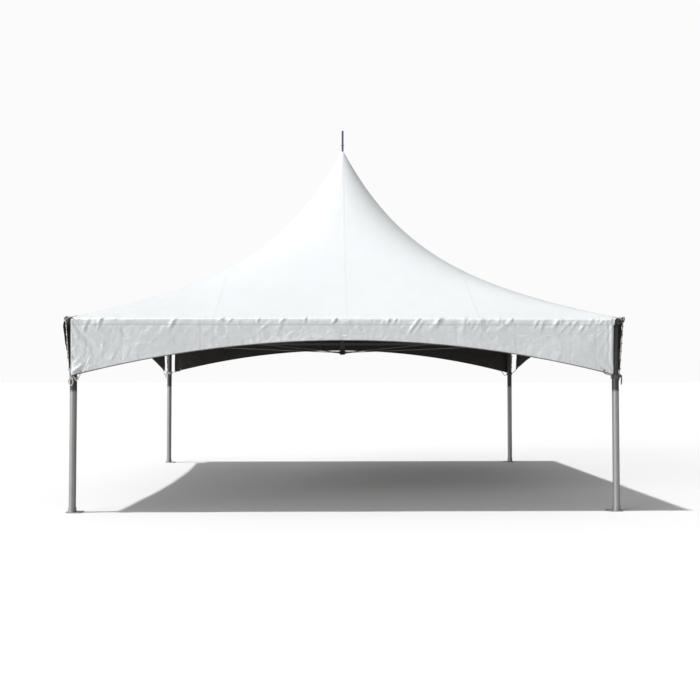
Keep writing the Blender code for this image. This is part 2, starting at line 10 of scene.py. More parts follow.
import bmesh
import bpy
from bpy.props import FloatProperty, FloatVectorProperty, IntProperty, PointerProperty
from bpy.types import Operator, Panel, PropertyGroup
from mathutils import Matrix, Vector, noise

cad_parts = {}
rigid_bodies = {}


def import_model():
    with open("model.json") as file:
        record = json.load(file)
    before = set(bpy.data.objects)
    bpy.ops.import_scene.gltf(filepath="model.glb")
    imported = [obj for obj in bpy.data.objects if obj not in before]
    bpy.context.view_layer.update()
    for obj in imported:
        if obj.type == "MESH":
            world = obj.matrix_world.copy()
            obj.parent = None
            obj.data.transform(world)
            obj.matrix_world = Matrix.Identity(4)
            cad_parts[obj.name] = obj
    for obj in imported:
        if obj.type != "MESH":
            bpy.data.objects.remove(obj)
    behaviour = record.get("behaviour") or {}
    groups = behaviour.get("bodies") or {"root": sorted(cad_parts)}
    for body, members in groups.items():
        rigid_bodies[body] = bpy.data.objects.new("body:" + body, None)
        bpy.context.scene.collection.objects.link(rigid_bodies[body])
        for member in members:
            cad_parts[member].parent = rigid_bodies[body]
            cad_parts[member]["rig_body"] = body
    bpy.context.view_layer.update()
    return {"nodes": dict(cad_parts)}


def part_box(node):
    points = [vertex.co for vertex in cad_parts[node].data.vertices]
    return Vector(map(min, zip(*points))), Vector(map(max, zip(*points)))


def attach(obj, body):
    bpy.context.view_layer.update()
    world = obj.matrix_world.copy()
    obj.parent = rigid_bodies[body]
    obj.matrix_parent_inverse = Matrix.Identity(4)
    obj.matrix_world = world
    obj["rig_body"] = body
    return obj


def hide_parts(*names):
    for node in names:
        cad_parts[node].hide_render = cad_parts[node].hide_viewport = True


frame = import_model()

bl_info = {
    "name": "Marquee Tent",
    "version": (1, 0, 0),
    "blender": (4, 5, 0),
    "location": "View3D > Sidebar > Marquee",
    "description": "Dresses the frame of a high-peak marquee tent",
    "category": "Add Mesh",
}

# Sides by quarter turns from the front, and corners by quarter turns from the front left
SIDES = {"front": 0, "right": 1, "back": 2, "left": 3}
CORNERS = {"front_left": 0, "front_right": 1, "back_right": 2, "back_left": 3}
QUARTER = math.pi / 2


def span(*nodes):
    """The lowest and highest corners of several CAD nodes together."""
    boxes = [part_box(node) for node in nodes]
    low = Vector([min(box[0][axis] for box in boxes) for axis in range(3)])
    high = Vector([max(box[1][axis] for box in boxes) for axis in range(3)])
    return low, high


# Places read from the frame
ROOF_PANELS = [f"roof_panel_{side}" for side in SIDES]
CAD_CLOTH = 0.004
ROOF_LOW, ROOF_HIGH = span(*ROOF_PANELS)
EAVE_HALF = ROOF_HIGH.x
EAVE = ROOF_LOW.z + CAD_CLOTH
PEAK = ROOF_HIGH.z
LEG_LOW, LEG_HIGH = span("leg_front_right")
LEG_AXIS = (LEG_LOW.x + LEG_HIGH.x) / 2
LEG_RADIUS = (LEG_HIGH.x - LEG_LOW.x) / 2
LEG_TOP = LEG_HIGH.z
TUBE_LOW, TUBE_HIGH = span("eave_tube_front_left")
TUBE_Z = (TUBE_LOW.z + TUBE_HIGH.z) / 2
TUBE_AXIS = -(TUBE_LOW.y + TUBE_HIGH.y) / 2
TUBE_RADIUS = (TUBE_HIGH.z - TUBE_LOW.z) / 2
FINIAL_LOW, FINIAL_HIGH = span("finial_rod")
FINIAL_RADIUS = (FINIAL_HIGH.y - FINIAL_LOW.y) / 2
CLOTH_TO_LEG = EAVE_HALF - LEG_AXIS
MAST_FOOT_LOW = span("mast_foot")[0].z

# Sizes of the frame's fittings that its boxes don't give
PLATE_TOP = 0.008
COLLAR_TOP = 0.053
COLLAR_RADIUS = 0.0437
HEAD_RADIUS = 0.0445
HEAD_WELDS = (LEG_TOP + 0.0035, LEG_TOP + 0.0590)
MAST_FOOT_TOP = MAST_FOOT_LOW + 0.090
MAST_FOOT_NECK = 0.0365
MAST_RADIUS = 0.0254
CORNER_PIN_REACH = 0.100
CORNER_PIN = LEG_TOP + 0.024
MAST_PIN_REACH = 0.062
MAST_PIN = MAST_FOOT_LOW + 0.032
PIN_END = 0.0118
TERMINAL = 0.120
EYE_REACH = 0.030 * math.sqrt(2) + 0.036
EYE_HEIGHT = TUBE_Z + 0.022

# Directions at the front left corner: up, outward from the tent, and to the side
UP = Vector((0, 0, 1))
OUTER = Vector((-1, -1, 0)).normalized()
SIDEWAYS = Vector((1, -1, 0)).normalized()

UNMOVED = Matrix.Identity(4)
SHARP_ANGLE = math.radians(35)

# Depth of each valance at mid-span and at the corners of the eave
VALANCE_DEPTHS = {
    "front": (0.238, 0.645),
    "right": (0.200, 0.580),
    "back": (0.155, 0.575),
    "left": (0.200, 0.580),
}

# Which valance begins and which ends at each corner
MEETING = {
    "front_left": ("front", "left"),
    "front_right": ("right", "front"),
    "back_right": ("back", "right"),
    "back_left": ("left", "back"),
}

# Where each valance starts and stops along its side, from the middle
VALANCE_ENDS = {
    "front": (-3.026, 2.972),
    "right": (-3.028, 2.690),
    "back": (-2.985, 2.930),
    "left": (-2.840, 3.028),
}


class MarqueeCloth(PropertyGroup):
    """The sewn roof and the valances."""

    thickness: FloatProperty(
        name="Thickness", description="Thickness of the coated cloth", default=0.0012, unit="LENGTH",
    )
    sag: FloatProperty(
        name="Roof Sag", description="How hollow the roof's slope is; 0 is straight", default=1.18,
    )
    rounding: FloatProperty(
        name="Roof Rounding", description="How soon the roof's plan turns from square to round",
        default=1.5,
    )
    eave_turn: FloatProperty(
        name="Eave Turn", description="Length of cloth bent round the eave's edge", default=0.028,
        unit="LENGTH",
    )
    skirt: FloatProperty(
        name="Skirt", description="How far the roof laps down over the valances", default=0.068,
        unit="LENGTH",
    )
    corner_clip: FloatProperty(
        name="Corner Clip", description="How much of each corner of the roof is cut off", default=0.090,
        unit="LENGTH",
    )
    gather: FloatProperty(
        name="Gathers", description="Height of the gathers along the eave", default=0.014, unit="LENGTH",
    )
    crumple: FloatProperty(name="Crumple", description="Slope of the facets left by packing", default=0.135)
    slack: FloatProperty(
        name="Slack", description="How far the valances wander from flat", default=0.014, unit="LENGTH",
    )
    hem: FloatProperty(
        name="Hem", description="Depth of the hem along each valance", default=0.045, unit="LENGTH",
    )
    hem_rope: FloatProperty(
        name="Hem Rope", description="Diameter of the cord along each hem", default=0.010,
        unit="LENGTH",
    )
    strip: FloatProperty(
        name="Strip Width", description="Width of the strips that the roof is welded from", default=1.48,
        unit="LENGTH",
    )
    weld: FloatProperty(
        name="Weld Width", description="Width of the welded laps", default=0.038, unit="LENGTH",
    )


class MarqueeHardware(PropertyGroup):
    """Ropes, straps, bolts and cables."""

    rope: FloatProperty(
        name="Tie Rope", description="Diameter of the rope ties", default=0.011, unit="LENGTH",
    )
    cable: FloatProperty(
        name="Cable", description="Diameter over the strands of the crossed cables", default=0.0125,
        unit="LENGTH",
    )
    strap: FloatProperty(
        name="Corner Strap", description="Width of the webbing at the roof's corners", default=0.034,
        unit="LENGTH",
    )
    bolt: FloatProperty(
        name="Bolt", description="Diameter of the frame's bolts", default=0.010, unit="LENGTH",
    )
    strands: IntProperty(name="Strands", description="Outer strands of each cable", default=6, min=3)


class MarqueeColours(PropertyGroup):
    """Base colours of the finishes."""

    vinyl: FloatVectorProperty(
        name="Vinyl", description="White face of the cloth", default=(0.825, 0.858, 0.872), subtype="COLOR",
    )
    # The lining's near-black is partly its own dark backing and partly painted shade of the tent's inside
    lining: FloatVectorProperty(
        name="Lining", description="Dark face that keeps the light out", default=(0.085, 0.077, 0.068),
        subtype="COLOR",
    )
    # The aluminium's grey is partly its own and partly painted shade: it is set darker than the bright
    # metal, since most of the legs stand in shade
    aluminium: FloatVectorProperty(
        name="Aluminium", description="Legs, eave tubes and mast", default=(0.43, 0.42, 0.41),
        subtype="COLOR",
    )
    zinc: FloatVectorProperty(
        name="Zinc", description="Galvanised fittings and foot plates", default=(0.13, 0.132, 0.135),
        subtype="COLOR",
    )
    cable: FloatVectorProperty(
        name="Cable", description="Strands of the crossed cables", default=(0.14, 0.14, 0.142),
        subtype="COLOR",
    )
    finial: FloatVectorProperty(
        name="Finial", description="Paint of the rod at the peak", default=(0.11, 0.11, 0.20),
        subtype="COLOR",
    )
    rope: FloatVectorProperty(
        name="Rope", description="Tie ropes", default=(0.80, 0.78, 0.73), subtype="COLOR",
    )
    # The cord's dark tone is partly its own and partly painted shade: it draws the shadow line under each
    # hem, and it is the dark copy of the rope at the shaded corners
    hem_cord: FloatVectorProperty(
        name="Hem Cord", description="Cord along the valances' hems", default=(0.15, 0.145, 0.145),
        subtype="COLOR",
    )
    floor: FloatVectorProperty(
        name="Floor", description="Pale studio floor", default=(0.93, 0.93, 0.93), subtype="COLOR",
    )


class MarqueeStage(PropertyGroup):
    """Floor, lights and camera."""

    sun: FloatProperty(name="Sun", description="Strength of the key light", default=2.36)
    sun_tilt: FloatProperty(
        name="Sun Tilt", description="Lean of the key light from overhead", default=math.radians(19.5),
        subtype="ANGLE",
    )
    sun_spread: FloatProperty(
        name="Sun Spread", description="Apparent width of the key light", default=math.radians(2.4),
        subtype="ANGLE",
    )
    sky: FloatProperty(name="Sky", description="Strength of the even light all round", default=0.31)
    fill: FloatProperty(
        name="Fill", description="Strength of the broad light from the front left", default=1.72,
    )
    lens: FloatProperty(name="Lens", description="Focal length on a 36 mm sensor, in mm", default=46.89)
    pitch: FloatProperty(
        name="Camera Pitch", description="Upward tilt of the camera", default=0.0319925, subtype="ANGLE",
    )
    yaw: FloatProperty(
        name="Camera Yaw", description="Turn of the camera from straight ahead", default=-0.0218215,
        subtype="ANGLE",
    )
    place: FloatVectorProperty(
        name="Camera Place", description="Where the photographer stood",
        default=(-0.1788, -13.1454, 1.4629), subtype="TRANSLATION",
    )


# Numbers and placing

def smooth(value, low, high):
    """0 below low, 1 above high, with an even curve between."""
    share = min(max((value - low) / (high - low), 0), 1)
    return share * share * (3 - 2 * share)


def wave(x, y, seed):
    """Smooth noise from about -1 to 1."""
    return noise.noise(Vector((x, y, seed)))


def turned(turns):
    return Matrix.Rotation(turns * QUARTER, 4, "Z")


def corner_place(corner):
    """The matrix that carries a piece from the origin to a corner's leg axis; +X and +Y point inward."""
    return turned(CORNERS[corner]) @ Matrix.Translation((-LEG_AXIS, -LEG_AXIS, 0))


def round_angles(per_turn, count=None):
    """Angles in even steps: one turn, or as many as asked for."""
    return [2 * math.pi * step / per_turn for step in range(count or per_turn)]


def placed(shape, matrix):
    """A shape, moved."""
    bmesh.ops.transform(shape, matrix=matrix, verts=shape.verts)
    return shape


def merged(parts):
    """One shape from several, each moved by its matrix."""
    whole = bmesh.new()
    for part, matrix in parts:
        mesh = mesh_of("part", placed(part, matrix))
        whole.from_mesh(mesh)
        bpy.data.meshes.remove(mesh)
    return whole


def mesh_of(name, shape):
    """A mesh made from a shape, which is used up."""
    mesh = bpy.data.meshes.new(name)
    shape.to_mesh(mesh)
    shape.free()
    return mesh


def put(name, data):
    """A new object in the scene, at the origin."""
    item = bpy.data.objects.new(name, data)
    bpy.context.scene.collection.objects.link(item)
    return item


def add_piece(name, shape, finishes):
    """A smooth-shaded piece made from a shape, with finishes by name, which rides on the frame."""
    mesh = mesh_of(name, shape)
    made = make_finishes(bpy.context.scene)
    for finish in finishes:
        mesh.materials.append(made[finish])
    mesh.shade_smooth()
    piece = put(name, mesh)
    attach(piece, "root")
    return piece


def add_fixings(name, parts, matrix=UNMOVED):
    """Small zinc parts as one piece, which keeps its sharp edges sharp."""
    piece = add_piece(name, placed(merged(parts), matrix), ["zinc"])
    piece.data.set_sharp_from_angle(angle=SHARP_ANGLE)


def thicken(piece, thickness, offset=-1, inner_finish=1):
    """Gives a piece its thickness, on the inside with its second finish there, or as told."""
    solid = piece.modifiers.new("Thickness", "SOLIDIFY")
    solid.thickness = thickness
    solid.offset = offset
    solid.material_offset = inner_finish


# Finishes

CLOTH_FACES = ("vinyl_white", "vinyl_lining")

# Length of a stitch with its gap
STITCH = 0.0065

# Share of its colour that the floor throws back
FLOOR_BOUNCE = 0.55

# Shares of the base colours for the tubes under the roof, darkened there as painted shade, and for the
# feet, the other fittings and the straps
PAINTED_SHADE_TUBES = 0.3
FEET = 3.2
FITTINGS = 0.55
STRAPS = 0.9

# Painted shade on the legs' upper length, where the valances shade them: where it starts, how soon it is
# full, and its share of the metal's colour
PAINTED_SHADE_FROM = 1.325
PAINTED_SHADE_BLEND = 0.035
PAINTED_SHADE_SHARE = 0.20


def new_finish(name, inputs):
    """A finish, its node tree, its shader with some inputs set, and its coordinates on the object."""
    finish = bpy.data.materials.new(name)
    finish.use_nodes = True
    tree = finish.node_tree
    shader = tree.nodes["Principled BSDF"]
    for key, value in inputs.items():
        shader.inputs[key].default_value = value
    return finish, tree, shader, stretched(tree, "Object")


def paint(tree, shader, colour, roughness=None):
    """Links patterns to a shader's colour and roughness."""
    tree.links.new(colour, shader.inputs["Base Color"])
    if roughness is not None:
        tree.links.new(roughness, shader.inputs["Roughness"])


def add_node(tree, kind, **settings):
    """A node with its properties and input values set by name."""
    node = tree.nodes.new(kind)
    for key, value in settings.items():
        if key in node.inputs:
            node.inputs[key].default_value = value
        else:
            setattr(node, key, value)
    return node


def from_vector(tree, kind, vector, **settings):
    """The outputs of a node that is fed with a vector."""
    node = add_node(tree, kind, **settings)
    tree.links.new(vector, node.inputs["Vector"])
    return node.outputs


def stretched(tree, source, scale=(1, 1, 1)):
    """A texture coordinate, scaled differently along each axis."""
    coordinates = add_node(tree, "ShaderNodeTexCoord").outputs[source]
    return from_vector(tree, "ShaderNodeMapping", coordinates, Scale=scale)["Vector"]


def noise_pattern(tree, vector, scale, detail=3.0, roughness=0.55):
    settings = {"Scale": scale, "Detail": detail, "Roughness": roughness}
    return from_vector(tree, "ShaderNodeTexNoise", vector, **settings)["Fac"]


def ramp(tree, factor, low, high, from_low=0.3, from_high=0.7):
    """Maps a pattern onto a range of values."""
    limits = {"From Min": from_low, "From Max": from_high, "To Min": low, "To Max": high}
    node = add_node(tree, "ShaderNodeMapRange", **limits)
    tree.links.new(factor, node.inputs["Value"])
    return node.outputs["Result"]


def set_inputs(tree, slots, values):
    """Links sockets, or sets numbers and colours, as the inputs of a node."""
    for slot, value in zip(slots, values):
        if isinstance(value, bpy.types.NodeSocket):
            tree.links.new(value, slot)
        else:
            slot.default_value = value


def calculate(tree, operation, *values):
    """A maths node on sockets and numbers."""
    node = add_node(tree, "ShaderNodeMath", operation=operation)
    set_inputs(tree, node.inputs, values)
    return node.outputs[0]


def axes(tree, vector):
    """The three parts of a vector."""
    return from_vector(tree, "ShaderNodeSeparateXYZ", vector)


def uv_parts(tree, layer):
    """The two parts of a UV layer."""
    parts = axes(tree, add_node(tree, "ShaderNodeUVMap", uv_map=layer).outputs["UV"])
    return parts["X"], parts["Y"]


def blend(tree, factor, first, second):
    """A mix of two colours, each a socket or four numbers."""
    mix = add_node(tree, "ShaderNodeMix", data_type="RGBA")
    set_inputs(tree, (mix.inputs["Factor"], mix.inputs[6], mix.inputs[7]), (factor, first, second))
    return mix.outputs[2]


def tint(tree, factor, colour, low, high):
    """A colour made darker and lighter by a pattern."""
    darker = (*[channel * low for channel in colour], 1)
    lighter = (*[min(channel * high, 1) for channel in colour], 1)
    return blend(tree, factor, darker, lighter)


def seen_directly(tree):
    """1 for what the camera sees with nothing between, 0 for the light that a surface throws."""
    return add_node(tree, "ShaderNodeLightPath").outputs["Is Camera Ray"]


def add_bump(tree, shader, height, distance, strength=1.0, under=None):
    """A bump from a height pattern, on top of an earlier one if there is one."""
    bump = add_node(tree, "ShaderNodeBump", Distance=distance, Strength=strength)
    tree.links.new(height, bump.inputs["Height"])
    if under is not None:
        tree.links.new(under, bump.inputs["Normal"])
    tree.links.new(bump.outputs["Normal"], shader.inputs["Normal"])
    return bump.outputs["Normal"]


def welded_laps(tree, cloth):
    """1 on the laps where strips of cloth are welded together and up the hips, 0 elsewhere."""
    across, _ = uv_parts(tree, "cloth")
    to_hip, _ = uv_parts(tree, "seams")
    shifted = calculate(tree, "ADD", across, cloth.strip * 20.5)
    in_strip = calculate(tree, "ABSOLUTE", calculate(
        tree, "SUBTRACT", calculate(tree, "MODULO", shifted, cloth.strip), cloth.strip / 2
    ))
    on_lap = ramp(tree, in_strip, 1, 0, cloth.weld / 2 - 0.001, cloth.weld / 2 + 0.001)
    on_hip = ramp(tree, to_hip, 1, 0, cloth.weld * 0.75, cloth.weld * 0.75 + 0.002)
    return calculate(tree, "MAXIMUM", on_lap, on_hip)


def stitch_rows(tree, cloth):
    """1 on the stitches along the lower edge's hem, 0 elsewhere."""
    across, _ = uv_parts(tree, "cloth")
    _, from_edge = uv_parts(tree, "seams")
    rows = None
    for level in (0.008, cloth.hem - 0.004):
        near = calculate(tree, "ABSOLUTE", calculate(tree, "SUBTRACT", from_edge, level))
        row = ramp(tree, near, 1, 0, 0.0006, 0.0014)
        rows = row if rows is None else calculate(tree, "MAXIMUM", rows, row)
    beat = calculate(tree, "MODULO", calculate(tree, "ADD", across, 10), STITCH)
    return calculate(tree, "MULTIPLY", rows, calculate(tree, "LESS_THAN", beat, STITCH * 0.65))


def vinyl_finish(name, colour, roughness, shade, gloss, cloth):
    """Coated cloth: a fine scrim shows through the coat, with welds, stitches, soft stains and scuffs."""
    finish, tree, shader, place = new_finish(name, {"Specular IOR Level": gloss})
    sheet = stretched(tree, "UV")
    stain = noise_pattern(tree, place, 0.9, detail=4)
    streak = noise_pattern(tree, stretched(tree, "UV", (5, 0.7, 1)), 2.0, detail=4, roughness=0.65)
    soil = calculate(tree, "MULTIPLY", ramp(tree, stain, 0.25, 1), ramp(tree, streak, 0.55, 1))
    laps = welded_laps(tree, cloth)
    soil = calculate(tree, "SUBTRACT", soil, calculate(tree, "MULTIPLY", laps, 0.22))
    worn = ramp(tree, noise_pattern(tree, place, 7.0, detail=5), roughness - 0.06, roughness + 0.08)
    worn = calculate(tree, "SUBTRACT", worn, calculate(tree, "MULTIPLY", laps, 0.05))
    paint(tree, shader, tint(tree, soil, colour, shade, 1.0), worn)
    coat = add_bump(tree, shader, noise_pattern(tree, sheet, 26.0, detail=4), 0.0014, 0.4)
    lapped = add_bump(tree, shader, laps, 0.0010, 0.9, coat)
    stitches = calculate(tree, "MULTIPLY", stitch_rows(tree, cloth), -1)
    sewn = add_bump(tree, shader, stitches, 0.0012, 0.9, lapped)
    scrim = from_vector(tree, "ShaderNodeTexChecker", sheet, Scale=360.0)["Fac"]
    add_bump(tree, shader, scrim, 0.00006, 0.4, sewn)
    return finish


def aluminium_finish(name, colour, along, painted_shade_above=None):
    """Mill aluminium tube: streaks along its length and dull bloom, and painted shade above a height if
    given.
    """
    finish, tree, shader, place = new_finish(name, {"Metallic": 0.45})
    fine = [1.2 if axis == along else 210 for axis in range(3)]
    streak = noise_pattern(tree, stretched(tree, "Object", fine), 1.0, detail=3)
    bloom = noise_pattern(tree, place, 6.0, detail=5, roughness=0.65)
    drawn = ramp(tree, streak, 0.55, 1.0, 0.25, 0.75)
    dull = calculate(tree, "MULTIPLY", drawn, ramp(tree, bloom, 0.6, 1.0))
    tone = tint(tree, dull, colour, 0.72, 1.12)
    if painted_shade_above is not None:
        # Painted shade: above the given height the metal takes a darker copy of its colour, its edge made
        # ragged by the bloom
        uneven = calculate(tree, "ADD", axes(tree, place)["Z"], calculate(tree, "MULTIPLY", bloom, 0.02))
        share = ramp(tree, uneven, 0, 1, painted_shade_above, painted_shade_above + PAINTED_SHADE_BLEND)
        tone = blend(tree, share, tone, tint(tree, dull, colour * PAINTED_SHADE_SHARE, 0.72, 1.12))
    paint(tree, shader, tone, ramp(tree, bloom, 0.36, 0.56))
    add_bump(tree, shader, streak, 0.0003, 0.25)
    return finish


def webbing_finish(name, colour):
    """Woven strap: ribs across it, and light soil."""
    finish, tree, shader, place = new_finish(name, {"Roughness": 0.75})
    weave = {"Scale": 180.0, "Distortion": 0.6, "bands_direction": "Y"}
    ribs = from_vector(tree, "ShaderNodeTexWave", stretched(tree, "UV"), **weave)["Fac"]
    soil = noise_pattern(tree, place, 40.0, detail=3)
    paint(tree, shader, tint(tree, ramp(tree, soil, 0, 1), colour, 0.85, 1.05))
    add_bump(tree, shader, ribs, 0.0005, 0.7)
    return finish


def zinc_finish(name, colour):
    """Galvanised steel with its spangle and dull patches."""
    finish, tree, shader, place = new_finish(name, {"Metallic": 0.7})
    spangle = from_vector(tree, "ShaderNodeTexVoronoi", place, Scale=90.0)["Color"]
    grey = add_node(tree, "ShaderNodeRGBToBW")
    tree.links.new(spangle, grey.inputs["Color"])
    patch = noise_pattern(tree, place, 30.0, detail=5)
    paint(tree, shader, tint(tree, grey.outputs["Val"], colour, 0.75, 1.2), ramp(tree, patch, 0.38, 0.65))
    add_bump(tree, shader, patch, 0.0004, 0.3)
    return finish


def cable_finish(name, colour):
    """Drawn steel wire with oily patches."""
    finish, tree, shader, place = new_finish(name, {"Metallic": 0.9})
    soil = noise_pattern(tree, place, 18.0, detail=4)
    paint(tree, shader, tint(tree, soil, colour, 0.6, 1.25), ramp(tree, soil, 0.3, 0.5))
    return finish


def paint_finish(name, colour):
    """Satin paint, chalky in places."""
    finish, tree, shader, place = new_finish(name, {"Coat Weight": 0.25})
    chalk = noise_pattern(tree, place, 40.0, detail=5)
    tone = tint(tree, ramp(tree, chalk, 0, 1), colour, 0.75, 1.35)
    paint(tree, shader, tone, ramp(tree, chalk, 0.32, 0.55))
    add_bump(tree, shader, chalk, 0.0002, 0.3)
    return finish


def rope_finish(name, colour):
    """Twisted yarn: fine fibres and patches of soil."""
    finish, tree, shader, place = new_finish(name, {"Roughness": 0.88, "Sheen Weight": 0.2})
    soil = noise_pattern(tree, place, 24.0, detail=3)
    paint(tree, shader, tint(tree, ramp(tree, soil, 0, 1), colour, 0.8, 1.1))
    add_bump(tree, shader, noise_pattern(tree, place, 420.0, detail=2), 0.0006, 0.5)
    return finish


def floor_finish(name, colour):
    """A pale floor that throws back less light than it shows, as open ground does."""
    finish, tree, shader, place = new_finish(name, {"Roughness": 0.9})
    mottle = noise_pattern(tree, place, 0.4, detail=2)
    thrown = tint(tree, mottle, colour, FLOOR_BOUNCE, FLOOR_BOUNCE)
    paint(tree, shader, blend(tree, seen_directly(tree), thrown, tint(tree, mottle, colour, 0.99, 1.01)))
    return finish


def make_finishes(scene):
    """Every finish by name, made once."""
    colours, cloth = scene.marquee_colours, scene.marquee_cloth
    # Painted shade: the eave tubes and mast take a darkened copy of the legs' aluminium
    shaded = colours.aluminium * PAINTED_SHADE_TUBES
    makers = {
        "vinyl_white": (vinyl_finish, colours.vinyl, 0.42, 0.94, 0.4, cloth),
        "vinyl_lining": (vinyl_finish, colours.lining, 0.6, 0.8, 0.12, cloth),
        "aluminium_upright": (aluminium_finish, colours.aluminium, 2, PAINTED_SHADE_FROM),
        "aluminium_across": (aluminium_finish, shaded, 0),
        "aluminium_deep": (aluminium_finish, shaded, 1),
        "aluminium_mast": (aluminium_finish, shaded, 2),
        "zinc": (zinc_finish, colours.zinc),
        "foot_zinc": (zinc_finish, colours.zinc * FEET),
        "fitting_steel": (zinc_finish, colours.zinc * FITTINGS),
        "cable_steel": (cable_finish, colours.cable),
        "finial_paint": (paint_finish, colours.finial),
        "rope_yarn": (rope_finish, colours.rope),
        "hem_cord": (rope_finish, colours.hem_cord),
        "webbing": (webbing_finish, colours.vinyl * STRAPS),
    }
    return {
        name: bpy.data.materials.get(name) or maker(name, *values)
        for name, (maker, *values) in makers.items()
    }


# The roof's shape

ROOF_HOLE = FINIAL_RADIUS + 0.001
ROOF_COLUMNS = 72
SKIRT_ROWS = 3
TURN_ROWS = 4
SLOPE_ROWS = 44

# How closely the slope's rows crowd to the eave and to the peak
EAVE_CROWDING = 1.75
PEAK_CROWDING = 1.45

# Drops, negative up the slope, below each of which the roof's columns are split in two once more
FINE_BANDS = (-0.55, -0.28, -0.12)


def rise_share(half_width):
    """How far up the roof a plan of this half width lies, from 0 at the eave to 1 at the peak."""
    run = (EAVE_HALF - half_width) / (EAVE_HALF - ROOF_HOLE)
    return run / (1 + bpy.context.scene.marquee_cloth.sag * (1 - run))


def eave_slope(cloth):
    """How steep the roof is at the eave."""
    return (PEAK - EAVE) / (EAVE_HALF - ROOF_HOLE) / (1 + cloth.sag)


def roundness(half_width, rounding):
    """0 where the roof's plan is a square, over the eave tubes, and 1 where it is a circle."""
    square_to = rise_share(TUBE_AXIS - TUBE_RADIUS)
    climb = (rise_share(half_width) - square_to) / (1 - square_to)
    return 1 - (1 - max(climb, 0)) ** rounding


def roof_point(half_width, height, angle, rounding):
    """A point of the roof above the front side, on a plan between a square and a circle."""
    corner = 1
    power = roundness(half_width, rounding) / 2
    if power > 0:
        corner = (1 + abs(math.tan(angle)) ** (1 / power)) ** power
    reach = half_width / (math.cos(angle) * corner)
    return Vector((reach * math.sin(angle), -reach * math.cos(angle), height))


def roof_levels(cloth):
    """The rows of the roof's section from the skirt's edge to the peak: half width, height and drop."""
    slope = eave_slope(cloth)
    level = math.hypot(1, slope)
    start = EAVE_HALF - cloth.eave_turn / level
    levels = []
    for row in range(SKIRT_ROWS):
        down = cloth.skirt + (cloth.eave_turn - cloth.skirt) * row / SKIRT_ROWS
        levels.append((EAVE_HALF, EAVE - down, down))
    for row in range(TURN_ROWS):
        bend = row / TURN_ROWS
        half_width = EAVE_HALF - (EAVE_HALF - start) * bend ** 2
        height = EAVE - cloth.eave_turn * (1 - bend) ** 2 + (EAVE_HALF - start) * slope * bend ** 2
        levels.append((half_width, height, cloth.eave_turn * (1 - 2 * bend)))
    for row in range(SLOPE_ROWS + 1):
        climb = row / SLOPE_ROWS
        inward = (start - ROOF_HOLE) * (1 - (1 - climb ** EAVE_CROWDING) ** PEAK_CROWDING)
        half_width = start - inward
        height = EAVE + (PEAK - EAVE) * rise_share(half_width)
        levels.append((half_width, height, -cloth.eave_turn - inward * level))
    return levels


# The cloth's relief

# Clusters of gathers along the front's eave: the place of each, and how many gathers it has
FRONT_GATHERS = (
    (-2.73, 3), (-1.92, 2), (-1.40, 3), (-0.88, 2), (-0.70, 2), (-0.46, 1), (-0.12, 4), (0.46, 2),
    (0.80, 3), (1.04, 5), (1.34, 5), (1.48, 3), (1.75, 7), (2.20, 3), (2.37, 4), (2.51, 4), (2.73, 5),
)
FRONT_CREASES = (-2.85, -2.46, -1.60, 0.25, 1.23, 1.89, 2.50, 2.78)
GATHER_REACH = 0.19
LONG_GATHERS = 0.30
OTHER_CLUSTERS = 17
CREASE_DEPTH = 0.0030
CREASE_WIDTH = 0.010
LEVEL_CREASE = 1.2
LEVEL_CREASE_DROP = 0.168
REST_HEIGHT = 0.0015
LEAST_RELIEF = -0.001

# The facets left by packing: size, squash down the cloth, shift of the noise and share of the crumple
FACETS = ((0.120, 1.0, 0, 0.9), (0.047, 1.3, 5, 0.8))

# Heights of the folds at a valance's ends and at its ties, and of the roll down the front's right edge
END_FOLD = 0.018
TIE_FOLD = 0.020
EDGE_ROLL = 0.013

# The pinched fold beside the front's left tie: place along and drop of its start, slant, height and hollow
PINCH = (-3.005, 0.612)
PINCH_SLANT = math.radians(44)
PINCH_HEIGHT = 0.024
PINCH_HOLLOW = 0.016


def gather_clusters(side, chance):
    """Where the eave's gathers bunch together on a side."""
    if side == "front":
        return FRONT_GATHERS
    return [
        (chance.uniform(-EAVE_HALF, EAVE_HALF), chance.randint(2, 6)) for _ in range(OTHER_CLUSTERS)
    ]


def make_gathers(side):
    """Each gather of a side's eave: its place, drop, lean, length, width and share of the full height."""
    chance = random.Random(90 + SIDES[side])
    gathers = []
    for centre, count in gather_clusters(side, chance):
        for _ in range(count):
            lean = math.radians(chance.gauss(34, 12))
            place, level = centre + chance.gauss(0, 0.060), chance.gauss(0.026, 0.020)
            length, width = chance.uniform(0.024, 0.048), chance.uniform(0.010, 0.017)
            share = chance.uniform(0.45, 1.0)
            if chance.random() < LONG_GATHERS:
                level += 0.035
                length *= 2.1
                width *= 1.5
                share *= 0.8
            gathers.append((place, level, math.sin(lean), math.cos(lean), length, width, share))
    return gathers


def gather_height(along, drop, gathers):
    """How high the gathers stand at a place, each a slanted ridge with a hollow beside it."""
    if abs(drop) > GATHER_REACH:
        return 0.0
    total = 0.0
    for place, level, lean_x, lean_y, length, width, share in gathers:
        across, down = along - place, drop - level
        if abs(across) > GATHER_REACH:
            continue
        run = (across * lean_x - down * lean_y) / length
        side = (across * lean_y + down * lean_x) / width
        ridge = math.exp(-side * side) - 0.45 * math.exp(-(side - 1.9) ** 2)
        total += share * ridge * math.exp(-run * run)
    return total


def facet_height(along, drop, size, seed):
    """Crumpled facets: cells that each tilt their own way and meet in creases. A slope of 1 in all."""
    place = Vector((along / size, drop / size, seed))
    distances, points = noise.voronoi(place)
    centre = points[0]
    tilt_x = noise.noise(centre * 7.3 + Vector((5.5, 0, 0))) * 2
    tilt_y = noise.noise(centre * 7.3 + Vector((0, 9.5, 0))) * 2
    level = (place.x - centre.x) * tilt_x + (place.y - centre.y) * tilt_y
    return size * level * smooth(distances[1] - distances[0], 0.0, 0.28)


